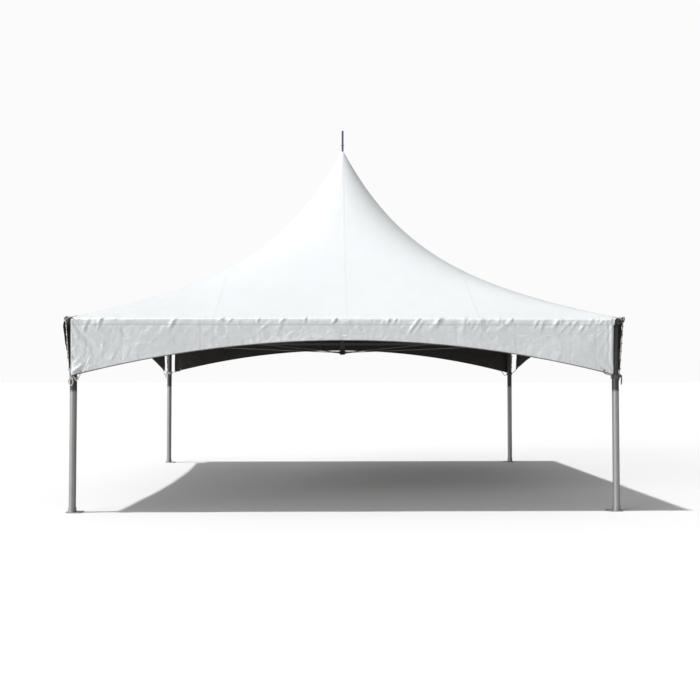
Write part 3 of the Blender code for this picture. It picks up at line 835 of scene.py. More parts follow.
def crease_height(along, drop, lines):
    """Straight creases down the cloth, where it was folded for packing, a little off true."""
    total = 0.0
    for line in lines:
        wander = line + CREASE_WIDTH * wave(drop * 6.0, line * 3.0, 3.0)
        total -= math.exp(-abs(along - wander) / CREASE_WIDTH)
    return total


def corner_folds(along, drop, corner_along, corner_drop, seed, reach):
    """Folds that fan out from a corner where the cloth is held."""
    across = along - corner_along
    down = drop - corner_drop
    distance = math.hypot(across, down)
    fan = math.atan2(down, abs(across) + 1e-6)
    crest = 1 - 2.6 * abs(wave(fan * 5.0, distance * 1.2, seed + 12))
    return crest * smooth(distance, 0.0, 0.08) * math.exp(-distance / reach)


def pinch_height(across, up):
    """A fold pinched by the tie: it slants up from the corner, sharp above and easing away below."""
    run = across * math.cos(PINCH_SLANT) + up * math.sin(PINCH_SLANT)
    off = up * math.cos(PINCH_SLANT) - across * math.sin(PINCH_SLANT)
    window = smooth(run, 0.0, 0.03) * (1 - smooth(run, 0.08, 0.170))
    width = 0.011 if off > 0.012 else 0.034
    ridge = PINCH_HEIGHT * math.exp(-((off - 0.012) / width) ** 2)
    return window * (ridge - PINCH_HOLLOW * math.exp(-((off + 0.034) / 0.018) ** 2))


def crease_lines(side):
    """Where the packing creases run on a side."""
    if side == "front":
        return FRONT_CREASES
    chance = random.Random(40 + SIDES[side])
    lines = []
    place = -EAVE_HALF + chance.uniform(0.2, 0.5)
    while place < EAVE_HALF - 0.1:
        lines.append(place)
        place += chance.choice((0.39, 0.61, 0.98))
    return lines


class ClothRelief:
    """How far the cloth of one side stands proud of its plain shape."""

    def __init__(self, side, cloth):
        self.side = side
        self.cloth = cloth
        self.seed = 31.0 + 17.0 * SIDES[side]
        self.gathers = make_gathers(side)
        self.lines = crease_lines(side)
        self.ends = VALANCE_ENDS[side]

    def height(self, along, drop):
        """The relief at a place. Drop is measured down from the eave, and is negative up the slope."""
        cloth = self.cloth
        gathers = cloth.gather * gather_height(along, drop, self.gathers)
        below = 0.10 + 0.90 * smooth(drop, -0.12, 0.08)
        crumple = smooth(wave(along * 0.9, drop * 0.9, self.seed + 30), -0.6, 0.5)
        facets = sum(
            facet_height(along, drop * squash, size, self.seed + shift) * share
            for size, squash, shift, share in FACETS
        )
        creases = CREASE_DEPTH * crease_height(along, drop, self.lines)
        level_crease = -math.exp(-abs(drop - LEVEL_CREASE_DROP) / 0.009) * self.level_share(along)
        creases += CREASE_DEPTH * LEVEL_CREASE * level_crease
        slack = cloth.slack * wave(along * 1.7, drop * 1.1, self.seed + 20) * smooth(drop, 0.05, 0.30)
        folds = 0.0
        for end, sign in zip(self.ends, (1, -1)):
            inset = end - 0.03 * sign
            folds += END_FOLD * corner_folds(along, drop, inset, -0.02, self.seed + sign, 0.20)
            corner = hem_drop(self.side, end) + 0.02
            folds += END_FOLD * corner_folds(along, drop, end, corner, self.seed + 3 * sign, 0.11)
            hole = end + sign * HOLE_INSET[0]
            level = hem_drop(self.side, hole) - HOLE_RISE
            reach = 0.10 if self.side == "front" and sign > 0 else 0.05
            folds += TIE_FOLD * corner_folds(along, drop, hole, level, self.seed, reach)
        if self.side == "front":
            folds += pinch_height(along - PINCH[0], PINCH[1] - drop)
            edge = self.ends[1] - along + 0.012 * wave(drop * 9.0, 2.0, 8.0)
            roll = math.exp(-((edge - 0.026) / 0.011) ** 2)
            roll += 0.4 * math.exp(-((edge - 0.075) / 0.012) ** 2)
            folds += EDGE_ROLL * roll * (1 - smooth(drop, 0.30, 0.55))
        facets *= cloth.crumple * (0.35 + 0.65 * crumple)
        return gathers + (facets + creases + folds) * below + slack + REST_HEIGHT

    def level_share(self, along):
        """The front has one crease along it, near its right end."""
        if self.side != "front":
            return 0.0
        return smooth(along, 1.45, 1.75) * (1 - smooth(along, 2.70, 2.85))


def lay_uv(shape, places, *names):
    """UV maps in metres, each from the next two numbers of every vertex's place."""
    layers = [shape.loops.layers.uv.new(name) for name in names]
    for face in shape.faces:
        for loop in face.loops:
            place = places[loop.vert]
            for index, layer in enumerate(layers):
                loop[layer].uv = place[2 * index:2 * index + 2]


def hem_drop(side, along):
    """How far below the eave a valance's hem hangs."""
    middle, corner = VALANCE_DEPTHS[side]
    return middle + (corner - middle) * (along / EAVE_HALF) ** 2


class MARQUEE_OT_roof(Operator):
    """Sews the roof: one cloth from the peak to the skirt that laps over the valances"""

    bl_idname = "marquee.roof"
    bl_label = "Sewn Roof"

    def execute(self, context):
        cloth = context.scene.marquee_cloth
        whole = merged((roof_quarter(side, cloth), turned(turns)) for side, turns in SIDES.items())
        bmesh.ops.remove_doubles(whole, verts=whole.verts, dist=1e-5)
        bmesh.ops.recalc_face_normals(whole, faces=whole.faces)
        roof = add_piece("roof_cloth", whole, CLOTH_FACES)
        thicken(roof, cloth.thickness)
        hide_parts(*ROOF_PANELS)
        return {"FINISHED"}


def roof_quarter(side, cloth):
    """The roof over one side, modelled as the front."""
    levels = roof_levels(cloth)
    rows = len(levels) - 1
    shape = bmesh.new()
    bmesh.ops.create_grid(shape, x_segments=ROOF_COLUMNS, y_segments=rows, size=0.5)
    for band in FINE_BANDS:
        split = [
            edge for edge in shape.edges
            if abs(edge.verts[0].co.y - edge.verts[1].co.y) < 1e-6
            and levels[round((edge.verts[0].co.y + 0.5) * rows)][2] > band
        ]
        bmesh.ops.subdivide_edges(shape, edges=split, cuts=1, use_grid_fill=True)
    places = {}
    for vertex in shape.verts:
        half_width, height, drop = levels[round((vertex.co.y + 0.5) * rows)]
        angle = vertex.co.x * QUARTER
        to_hip = (QUARTER / 2 - abs(angle)) * half_width * (2 - roundness(half_width, cloth.rounding))
        vertex.co = roof_point(half_width, height, angle, cloth.rounding)
        places[vertex] = (vertex.co.x, drop, to_hip, cloth.skirt - drop)
    shape.normal_update()
    lay_uv(shape, places, "cloth", "seams")
    relief = ClothRelief(side, cloth)
    for vertex in shape.verts:
        along, drop, to_hip, _ = places[vertex]
        hip = smooth(to_hip, 0.0, 0.05)
        fade = smooth(drop, -1.6, -0.15)
        if hip * fade > 0:
            vertex.co += outward(vertex) * max(relief.height(along, drop), LEAST_RELIEF) * hip * fade
    for end in (-1, 1):
        bmesh.ops.bisect_plane(
            shape, geom=[*shape.verts, *shape.edges, *shape.faces], dist=1e-6,
            plane_co=(end * EAVE_HALF, cloth.corner_clip - EAVE_HALF, 0),
            plane_no=(end, -1, 0), clear_outer=True,
        )
    return shape


def outward(vertex):
    """A vertex's normal on the front side, turned to point away from the tent."""
    return vertex.normal if vertex.normal.z - vertex.normal.y > 0 else -vertex.normal


# Valances

VALANCE_COLUMNS = 620
VALANCE_ROWS = 44
HEM_STEPS = 300

# How far a valance's top is tucked in, its lower corners are pulled in and the left one's end flares out,
# and how far inward its cloth may go at most
TUCK = 0.0016
LOWER_PULL = 0.026
FLARE = 0.034
MOST_INWARD = 0.0285


class MARQUEE_OT_valances(Operator):
    """Hangs the four arched valances from the eave"""

    bl_idname = "marquee.valances"
    bl_label = "Valances"

    def execute(self, context):
        cloth = context.scene.marquee_cloth
        for side, turns in SIDES.items():
            shape, area = valance_shape(side, cloth)
            sewn = placed(shape, turned(turns))
            valance = add_piece(f"valance_cloth_{side}", sewn, CLOTH_FACES)
            thicken(valance, cloth.thickness)
            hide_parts(f"valance_{side}")
            cord = placed(hem_cord_shape(side, cloth), turned(turns))
            hem = add_piece(f"hem_cord_{side}", cord, ["hem_cord"])
        return {"FINISHED"}


def hem_shape(drop, depth, cloth):
    """How proud the folded hem stands, with its row of stitches."""
    start = depth - cloth.hem
    fold = 0.0013 * smooth(drop, start - 0.003, start + 0.001)
    return fold - 0.0009 * math.exp(-((drop - start - 0.004) / 0.003) ** 2)


def valance_point(relief, along, drop):
    """A point on the outer face of a valance, modelled on the front side."""
    side, cloth = relief.side, relief.cloth
    first, second = VALANCE_ENDS[side]
    depth = hem_drop(side, along)
    near_end = math.exp(-max(min(along - first, second - along), 0) / 0.30)
    inward = LOWER_PULL * near_end * smooth(drop, 0.05, depth)
    if side == "left":
        edge = second - along
        lap = cloth.skirt * smooth(edge, 0.030, 0.055)
        window = smooth(drop, lap - 0.01, lap + 0.04) * (1 - smooth(drop, 0.16, 0.54))
        inward -= FLARE * math.exp(-edge / 0.045) * window
    pucker = 0.0022 * wave(along * 19.0, drop * 4.0, 5.0) * smooth(drop, depth - 2 * cloth.hem, depth)
    least = LEAST_RELIEF - 0.02 * smooth(drop, 0.07, 0.14)
    proud = max(relief.height(along, drop), least) + hem_shape(drop, depth, cloth) + pucker
    tuck = TUCK * (1 - smooth(drop, cloth.skirt, cloth.skirt + 0.02))
    return Vector((along, -EAVE_HALF + min(tuck + inward - proud, MOST_INWARD), EAVE - drop))


def valance_shape(side, cloth):
    """One valance, modelled on the front side, and its flat area."""
    first, second = VALANCE_ENDS[side]
    shape = bmesh.new()
    bmesh.ops.create_grid(shape, x_segments=VALANCE_COLUMNS, y_segments=VALANCE_ROWS, size=0.5)
    relief = ClothRelief(side, cloth)
    places = {}
    for vertex in shape.verts:
        along = first + (second - first) * (vertex.co.x + 0.5)
        depth = hem_drop(side, along)
        drop = CAD_CLOTH + (depth - CAD_CLOTH) * (0.5 - vertex.co.y)
        places[vertex] = (along, drop, min(along - first, second - along), depth - drop)
        vertex.co = valance_point(relief, along, drop)
    lay_uv(shape, places, "cloth", "seams")
    bmesh.ops.recalc_face_normals(shape, faces=shape.faces)
    if sum(face.normal.y for face in shape.faces) > 0:
        bmesh.ops.reverse_faces(shape, faces=shape.faces)
    middle, corner = VALANCE_DEPTHS[side]
    area = (second - first) * middle + (corner - middle) * (second ** 3 - first ** 3) / 3 / EAVE_HALF ** 2
    return shape, area


def hem_cord_shape(side, cloth):
    """The cord along a valance's hem, modelled on the front side."""
    first, second = VALANCE_ENDS[side]
    relief = ClothRelief(side, cloth)
    route = []
    for step in range(HEM_STEPS + 1):
        along = first + (second - first) * step / HEM_STEPS
        point = valance_point(relief, along, hem_drop(side, along))
        route.append(point + Vector((0, cloth.thickness / 2, 0)))
    return tube_along([route], cloth.hem_rope / 2, 2)


# Ropes and wires

# How far the ties' holes are from a valance's first and second ends, and above its hem
HOLE_INSET = (0.115, 0.105)
HOLE_RISE = 0.020
WRAPS = 3
WRAP_STEPS = 16
WRAP_DROP = 0.055
KNOT_STEPS = 36

# The tie's hanging bight and its tail, measured from the knot: outward, to the side and down
BIGHT = (
    (0.014, 0.020, 0.026), (0.012, 0.026, 0.062), (0.010, 0.004, 0.094), (0.012, -0.024, 0.060),
    (0.014, -0.018, 0.024), (0, 0, 0),
)
TAIL = ((0.012, -0.014, 0.020), (0.009, -0.026, 0.062))

# The left corners' ties show the pale rope, and the right corners' ties and three of the four corner lines
# take the dark cord as painted shade, where one rope serves all
UNSHADED_TIES = ("front_left", "back_left")
UNSHADED_LINE = "front_left"
LINE_SHARE = 0.8
HITCH_RADIUS = 0.0115
HITCH_STEPS = 24
LACES = 7

# Radius and wire of the eyelets, and how flat they are rolled
EYELET = (0.0105, 0.0030)
EYELET_FLATNESS = 0.45


def eased(points, steps):
    """A smooth path through a few points."""
    path = []
    for index in range(len(points) - 1):
        before, start = points[max(index - 1, 0)], points[index]
        end, after = points[index + 1], points[min(index + 2, len(points) - 1)]
        for step in range(steps):
            share = step / steps
            path.append(0.5 * (
                2 * start + (end - before) * share
                + (2 * before - 5 * start + 4 * end - after) * share ** 2
                + (3 * start - before - 3 * end + after) * share ** 3
            ))
    path.append(points[-1])
    return path


def evened(points, step):
    """The same path in equal steps."""
    lengths = [0.0]
    for start, end in zip(points, points[1:]):
        lengths.append(lengths[-1] + (end - start).length)
    count = max(round(lengths[-1] / step), 2)
    path = []
    index = 0
    for number in range(count + 1):
        target = lengths[-1] * number / count
        while index < len(points) - 2 and lengths[index + 1] < target:
            index += 1
        gap = max(lengths[index + 1] - lengths[index], 1e-9)
        path.append(points[index].lerp(points[index + 1], min((target - lengths[index]) / gap, 1)))
    return path


def laid(points, strands, offset, pitch, steps=8):
    """The paths of strands laid round a path, as in a rope or a cable."""
    path = evened(points, pitch / steps)
    heading = (path[1] - path[0]).normalized()
    across = heading.orthogonal().normalized()
    routes = [[] for _ in range(strands)]
    for index, point in enumerate(path):
        ahead = path[min(index + 1, len(path) - 1)] - path[max(index - 1, 0)]
        turn = heading.rotation_difference(ahead.normalized())
        across = turn @ across
        heading = ahead.normalized()
        other = heading.cross(across)
        for strand in range(strands):
            angle = 2 * math.pi * (strand / strands + index / steps)
            routes[strand].append(point + offset * (math.cos(angle) * across + math.sin(angle) * other))
    return routes


def tube_along(routes, radius, roundness_level, closed=False):
    """Round tubes along routes, with their ends capped."""
    curve = bpy.data.curves.new("route", "CURVE")
    curve.dimensions = "3D"
    curve.bevel_depth = radius
    curve.bevel_resolution = roundness_level
    curve.use_fill_caps = True
    for route in routes:
        spline = curve.splines.new("POLY")
        spline.points.add(len(route) - 1)
        spline.use_cyclic_u = closed
        for slot, point in zip(spline.points, route):
            slot.co = (*point, 1)
    holder = bpy.data.objects.new("route", curve)
    shape = bmesh.new()
    swept = holder.to_mesh()
    shape.from_mesh(swept)
    holder.to_mesh_clear()
    bpy.data.objects.remove(holder)
    bpy.data.curves.remove(curve)
    bmesh.ops.remove_doubles(shape, verts=shape.verts, dist=1e-6)
    bmesh.ops.recalc_face_normals(shape, faces=shape.faces)
    return shape


def rope_shape(points, diameter):
    """A three-strand rope along a path."""
    radius = diameter / 2
    strand = radius / (1 + 2 / math.sqrt(3))
    return tube_along(laid(points, 3, radius - strand, diameter * 3.4), strand * 1.04, 1)


def wrap_point(angle, height, radius):
    return Vector((radius * math.cos(angle), radius * math.sin(angle), height))


def at_corner(end, point):
    """A point of one of the valances that meet at a corner, measured from the leg's axis."""
    if end == 1:
        point = Matrix.Rotation(-QUARTER, 3, "Z") @ point
    return point + Vector((LEG_AXIS, LEG_AXIS, 0))


def valance_holes(corner, cloth):
    """Where the tie passes through the two valances at a corner: each place and its outward direction."""
    side, other = MEETING[corner]
    holes = []
    for end, name in enumerate((side, other)):
        first, second = VALANCE_ENDS[name]
        along = first + HOLE_INSET[end] if end == 0 else second - HOLE_INSET[end]
        drop = hem_drop(name, along) - HOLE_RISE
        point = valance_point(ClothRelief(name, cloth), along, drop)
        facing = Matrix.Rotation(-QUARTER * end, 3, "Z") @ Vector((0, -1, 0))
        holes.append((at_corner(end, point), facing))
    return holes


def tie_shape(corner, cloth, hardware):
    """The tie at a corner: from one valance, round the leg, to the other, with a knot and loose ends."""
    chance = random.Random(CORNERS[corner] + 7)
    (start, out_a), (finish, out_b) = valance_holes(corner, cloth)
    rope = hardware.rope
    radius = LEG_RADIUS + rope / 2 + 0.0008
    wrap_z = min(start.z, finish.z) - WRAP_DROP
    points = [
        start - out_a * 0.005 + Vector((0, 0, 0.006)),
        start + out_a * 0.006 + Vector((0, 0, -0.004)),
        start + out_a * 0.005 + Vector((-0.012, 0, -0.030)),
        Vector((start.x * 0.50, -radius - 0.014, wrap_z - 0.046)),
    ]
    sweep = 2 * math.pi * WRAPS - QUARTER
    for step in range(WRAP_STEPS * WRAPS + 1):
        share = step / (WRAP_STEPS * WRAPS)
        angle = -QUARTER * 0.8 - sweep * share
        sway = 0.0022 * math.sin(angle + chance.uniform(-0.1, 0.1))
        points.append(wrap_point(angle, wrap_z - rope * 1.08 * WRAPS * share + sway, radius))
    points += [
        Vector((-radius * 0.96, radius * 0.75, points[-1].z + 0.028)),
        finish - out_b * 0.007 + Vector((0, -0.012, -0.034)),
        finish - out_b * 0.006 + Vector((0, 0, -0.002)),
        finish + out_b * 0.005 + Vector((0, 0, 0.008)),
    ]
    middle = wrap_point(-QUARTER * 1.12, wrap_z - rope * 0.6, radius + rope * 0.9)
    knot = [
        Vector((
            math.sin(t) + 2 * math.sin(2 * t),
            math.cos(t) - 2 * math.cos(2 * t),
            -1.3 * math.sin(3 * t),
        )) * rope * 0.58
        for t in round_angles(KNOT_STEPS)
    ]
    facing = Matrix.Rotation(-QUARTER / 2, 4, "Z") @ Matrix.Rotation(QUARTER, 4, "Y")
    outer = Vector((middle.x, middle.y, 0)).normalized()
    side = Vector((-outer.y, outer.x, 0))
    parts = [
        (rope_shape(eased(points, 5), rope), UNMOVED),
        (tube_along([knot], rope * 0.46, 2, closed=True), Matrix.Translation(middle) @ facing),
    ]
    for hanging in (BIGHT, TAIL):
        route = [middle + outer * out + side * across - UP * down for out, across, down in hanging]
        parts.append((rope_shape(eased([middle, *route], 8), rope), UNMOVED))
    return merged(parts)


def corner_line():
    """The two ends of the taut rope from a corner's ring down to the tie, from its top."""
    top = RING_HEIGHT - RING_HALF_HEIGHT
    reach = (RING_REACH - RING_HALF_HEIGHT * RING_LEAN) / math.sqrt(2)
    low = EAVE - VALANCE_DEPTHS["front"][1] - 0.035
    foot = (LEG_RADIUS + 0.006) / math.sqrt(2)
    return Vector((-reach, -reach, top)), Vector((-foot, -foot, low))


def corner_line_shape(corner, hardware):
    """The taut rope down a corner, hitched on the ring and laced through the valances' edges."""
    top, low = corner_line()
    rope = hardware.rope * LINE_SHARE
    hitch = []
    for step, angle in enumerate(round_angles(HITCH_STEPS / 2, HITCH_STEPS + 1)):
        ring = (OUTER * math.cos(angle) + UP * math.sin(angle)) * HITCH_RADIUS
        hitch.append(top + ring + SIDEWAYS * (step / HITCH_STEPS - 0.5) * rope * 1.6)
    line = eased([top + OUTER * 0.002, top.lerp(low, 0.5) + OUTER * 0.002, low], 10)
    parts = [(rope_shape(hitch, rope), UNMOVED), (rope_shape(line, rope), UNMOVED)]
    sign = -1 if CORNERS[corner] % 2 else 1
    for number in range(LACES):
        centre = top.lerp(low, (number + 0.6) / LACES)
        lace = [
            centre + SIDEWAYS * sign * 0.0085 * (math.cos(t) - 0.6) + OUTER * 0.0035 * math.sin(t)
            + UP * 0.0075 * math.sin(t + 0.6)
            for t in round_angles(20)
        ]
        parts.append((tube_along([lace], rope * 0.34, 1, closed=True), UNMOVED))
    return merged(parts)


class MARQUEE_OT_ties(Operator):
    """Lashes the valances' lower corners to the legs, and runs a rope down each corner"""

    bl_idname = "marquee.ties"
    bl_label = "Ties"

    def execute(self, context):
        scene = context.scene
        cloth, hardware = scene.marquee_cloth, scene.marquee_hardware
        for corner in CORNERS:
            place = corner_place(corner)
            tie = placed(tie_shape(corner, cloth, hardware), place)
            # Painted shade: the right corners' ties take the dark cord in place of the rope
            rope = "rope_yarn" if corner in UNSHADED_TIES else "hem_cord"
            piece = add_piece(f"rope_tie_{corner}", tie, [rope])
            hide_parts(f"valance_tie_{corner}")
            line = placed(corner_line_shape(corner, hardware), place)
            # Painted shade: all corner lines but the front left one take the dark cord in place of the rope
            cord = "rope_yarn" if corner == UNSHADED_LINE else "hem_cord"
            add_piece(f"corner_line_{corner}", line, [cord])
            eyelets = placed(eyelet_shape(corner, cloth), place)
            add_piece(f"eyelets_{corner}", eyelets, ["zinc"])
        return {"FINISHED"}


def ring_shape(radius, wire, steps=32, sides=8):
    """A round ring of wire about the Z axis."""
    shape = bmesh.new()
    stand = Matrix.Translation((radius, 0, 0)) @ Matrix.Rotation(QUARTER, 4, "X")
    bmesh.ops.create_circle(shape, segments=sides, radius=wire, matrix=stand)
    bmesh.ops.spin(
        shape, geom=[*shape.verts, *shape.edges], cent=(0, 0, 0), axis=(0, 0, 1), angle=2 * math.pi,
        steps=steps, use_merge=True,
    )
    bmesh.ops.recalc_face_normals(shape, faces=shape.faces)
    return shape


def facing_matrix(point, direction):
    """Puts a shape's Z axis along a direction, at a point."""
    return Matrix.Translation(point) @ direction.to_track_quat("Z", "Y").to_matrix().to_4x4()


def eyelet_shape(corner, cloth):
    """Rolled eyelets in the two valances where the tie passes."""
    flatter = Matrix.Diagonal((1, 1, EYELET_FLATNESS, 1))
    return merged([
        (ring_shape(*EYELET), facing_matrix(point + facing * side, facing) @ flatter)
        for point, facing in valance_holes(corner, cloth)
        for side in (0.0006, -cloth.thickness - 0.0006)
    ])


# Corner rings and straps

RING_REACH = EYE_REACH + 0.024
RING_HALF_WIDTH = 0.029
RING_HALF_HEIGHT = 0.022
RING_LEAN = 0.18
RING_WIRE = 0.0048
RING_HEIGHT = EYE_HEIGHT + 0.004
STRAP_THICKNESS = 0.0016


def on_corner(outward_by, sideways, height):
    """A point near a corner: how far out from the leg's axis, how far to the side, and its height."""
    return OUTER * outward_by + SIDEWAYS * sideways + UP * height


def blunted(share):
    """A cosine or sine, drawn towards 1, so that a circle becomes a rounded square."""
    return math.copysign(abs(share) ** 0.75, share)


def corner_ring_shape():
    """A rounded steel ring that hangs in the eye and holds the strap."""
    route = []
    for angle in round_angles(40):
        rise = RING_HALF_HEIGHT * blunted(math.sin(angle))
        across = RING_HALF_WIDTH * blunted(math.cos(angle))
        route.append(on_corner(RING_REACH + rise * RING_LEAN, across, RING_HEIGHT + rise))
    return tube_along([route], RING_WIRE, 3, closed=True)


def ribbon_shape(route, width, across):
    """A flat ribbon along a route."""
    steps = len(route) - 1
    shape = bmesh.new()
    bmesh.ops.create_grid(shape, x_segments=steps, y_segments=6, size=0.5)
    places = {}
    for vertex in shape.verts:
        share, side = vertex.co.x + 0.5, vertex.co.y
        places[vertex] = (side * width, share * steps * 0.004)
        vertex.co = route[round(share * steps)] + across * side * width
    lay_uv(shape, places, "cloth")
    return shape


def strap_route(cloth):
    """Out from the roof's corner, round the ring's upper bar and back under itself."""
    slope = eave_slope(cloth)
    edge = (CLOTH_TO_LEG - 0.045) * math.sqrt(2)
    lift = EAVE + slope * (EAVE_HALF - LEG_AXIS - edge / math.sqrt(2))
    bar = RING_REACH + RING_HALF_HEIGHT * RING_LEAN
    top = RING_HEIGHT + RING_HALF_HEIGHT
    points = (
        (edge - 0.075, lift + 0.075 * slope / math.sqrt(2) + 0.0035),
        (edge - 0.020, lift + 0.020 * slope / math.sqrt(2) + 0.0035),
        (edge + 0.004, lift + 0.0030),
        (bar - 0.003, top + RING_WIRE + STRAP_THICKNESS),
        (bar + RING_WIRE + 0.0010, top),
        (bar, top - RING_WIRE - STRAP_THICKNESS),
        (edge + 0.012, lift - 0.0040),
        (edge + 0.003, lift - 0.0006),
    )
    return eased([on_corner(reach, 0, height) for reach, height in points], 6)


class MARQUEE_OT_corners(Operator):
    """Straps each corner of the roof to a ring in the corner's eye"""

    bl_idname = "marquee.corners"
    bl_label = "Corner Straps"

    def execute(self, context):
        cloth, width = context.scene.marquee_cloth, context.scene.marquee_hardware.strap
        for corner in CORNERS:
            ring = placed(corner_ring_shape(), corner_place(corner))
            add_piece(f"corner_ring_{corner}", ring, ["fitting_steel"])
            strap = placed(ribbon_shape(strap_route(cloth), width, SIDEWAYS), corner_place(corner))
            bmesh.ops.recalc_face_normals(strap, faces=strap.faces)
            piece = add_piece(f"corner_strap_{corner}", strap, ["webbing"])
            thicken(piece, STRAP_THICKNESS, 0, 0)
        return {"FINISHED"}


# Small metal pieces

WASHER = 0.0018

# Heights of a bolt's head and nut, by its diameter
BOLT_HEAD = 0.62
BOLT_NUT = 0.78

STRAND_RADIUS = 0.0024
CABLE_LAY = 0.105
STRAND_OVERLAP = 0.006

# The crimps at a cable's end: how many, radius and wire, and where the first and the next ones are
CRIMPS = 5
CRIMP = (0.0086, 0.0011)
CRIMP_START = 0.072
CRIMP_STEP = 0.010

CLIP_RADIUS = 0.0095
CLIP_WIRE = 0.0009
LEG_BOLT = LEG_TOP - 0.062
BUTTON_HEIGHT = 1.345

# The eave tubes' spring buttons: places along a side, and their downward direction
EAVE_BUTTONS = (-LEG_AXIS + 0.135, LEG_AXIS - 0.135, -0.070)
BUTTON_FACING = Vector((0, 0.42, -0.91)).normalized()


def stub_shape(radius, height, base, segments, soft, rows):
    """A short prism or cylinder about the Z axis, from its base up, with the edges of its top softened."""
    shape = bmesh.new()
    bmesh.ops.create_cone(
        shape, cap_ends=True, segments=segments, radius1=radius, radius2=radius, depth=height,
        matrix=Matrix.Translation((0, 0, base + height / 2)),
    )
    top = [edge for edge in shape.edges if all(vertex.co.z > base + height * 0.9 for vertex in edge.verts)]
    bmesh.ops.bevel(
        shape, geom=top, offset=soft, offset_type="OFFSET", affect="EDGES", segments=rows, profile=0.5,
        material=-1,
    )
    return shape


def hex_shape(across_flats, height, base):
    """A hexagonal bolt head or nut with its chamfer."""
    return stub_shape(across_flats / math.sqrt(3), height, base, 6, height * 0.16, 2)


def disc_shape(radius, height, base=0.0, segments=28, soft=0.0006):
    """A washer or a button."""
    return stub_shape(radius, height, base, segments, min(soft, height * 0.9), 3)


def bolt_parts(middle, direction, half_grip, diameter):
    """A through bolt: head, two washers, nut and the threaded end, each with its place."""
    parts = []
    for sign, share in ((1, BOLT_HEAD), (-1, BOLT_NUT)):
        place = facing_matrix(middle + direction * half_grip * sign, direction * sign)
        parts.append((disc_shape(diameter * 1.05, WASHER), place))
        parts.append((hex_shape(diameter * 1.6, diameter * share, WASHER), place))
    end = disc_shape(diameter * 0.48, diameter * 0.3, WASHER + diameter * BOLT_NUT, 20, 0.0012)
    return [*parts, (end, place)]


def bead_shape(radius, height, size, seed):
    """A rippled bead of weld round the Z axis."""
    shape = ring_shape(radius, size, 120)
    for vertex in shape.verts:
        angle = math.atan2(vertex.co.y, vertex.co.x)
        ripple = 1 + 0.13 * math.sin(angle * 44)
        ripple += 0.16 * wave(math.cos(angle) * 4, math.sin(angle) * 4, seed)
        flat = Vector((vertex.co.x, vertex.co.y, 0)).normalized() * radius
        vertex.co = flat + (vertex.co - flat) * ripple + UP * height
    return shape


def push_button_parts(middle, direction):
    """A spring button that stands out of its hole in a tube."""
    place = facing_matrix(middle, direction)
    return [
        (disc_shape(0.0052, 0.0048, -0.0006, 24, 0.0024), place),
        (ring_shape(0.0064, 0.0009, 28, 6), place),
    ]


def clip_shape(centre, direction):
    """A split ring through the end of a pin, and its place."""
    turn = facing_matrix(centre - UP * 0.010, direction.cross(UP).normalized())
    route = [
        Vector((CLIP_RADIUS * math.cos(t), CLIP_RADIUS * math.sin(t), 0.0011 * (t / math.pi - 1.5)))
        for t in round_angles(24, 37)
    ]
    return tube_along(laid(route, 1, 0.0, 0.01), CLIP_WIRE, 1), turn


def bearing_of(corner):
    """Direction from the middle towards a corner."""
    angle = (2 * CORNERS[corner] - 3) * QUARTER / 2
    return Vector((math.cos(angle), math.sin(angle), 0))


def cable_ends(corner):
    """The pins at the two ends of a corner's cable."""
    bearing = bearing_of(corner)
    inner = bearing * MAST_PIN_REACH + UP * MAST_PIN
    outer = bearing * (LEG_AXIS * math.sqrt(2) - CORNER_PIN_REACH) + UP * CORNER_PIN
    return inner, outer


class MARQUEE_OT_cables(Operator):
    """Lays the strands over the crossed cables, with crimps and split rings at their ends"""

    bl_idname = "marquee.cables"
    bl_label = "Cables"

    def execute(self, context):
        hardware = context.scene.marquee_hardware
        trim = TERMINAL - STRAND_OVERLAP
        for corner in CORNERS:
            inner, outer = cable_ends(corner)
            along = (outer - inner).normalized()
            ends = [inner + along * trim, outer - along * trim]
            routes = laid(ends, hardware.strands, hardware.cable / 2 - STRAND_RADIUS, CABLE_LAY, 10)
            strands = tube_along(routes, STRAND_RADIUS, 1)
            add_piece(f"cable_strands_{corner}", strands, ["cable_steel"])
            parts = []
            across = along.cross(UP).normalized()
            for pin, heading in ((inner, along), (outer, -along)):
                for crimp in range(CRIMPS):
                    place = facing_matrix(pin + heading * (CRIMP_START + CRIMP_STEP * crimp), heading)
                    parts.append((ring_shape(*CRIMP, 28, 6), place))
                parts.append(clip_shape(pin + across * (PIN_END - 0.0012), across))
                parts.append((disc_shape(0.0088, 0.0022), facing_matrix(pin - across * PIN_END, -across)))
            add_fixings(f"cable_fixings_{corner}", parts)
        return {"FINISHED"}


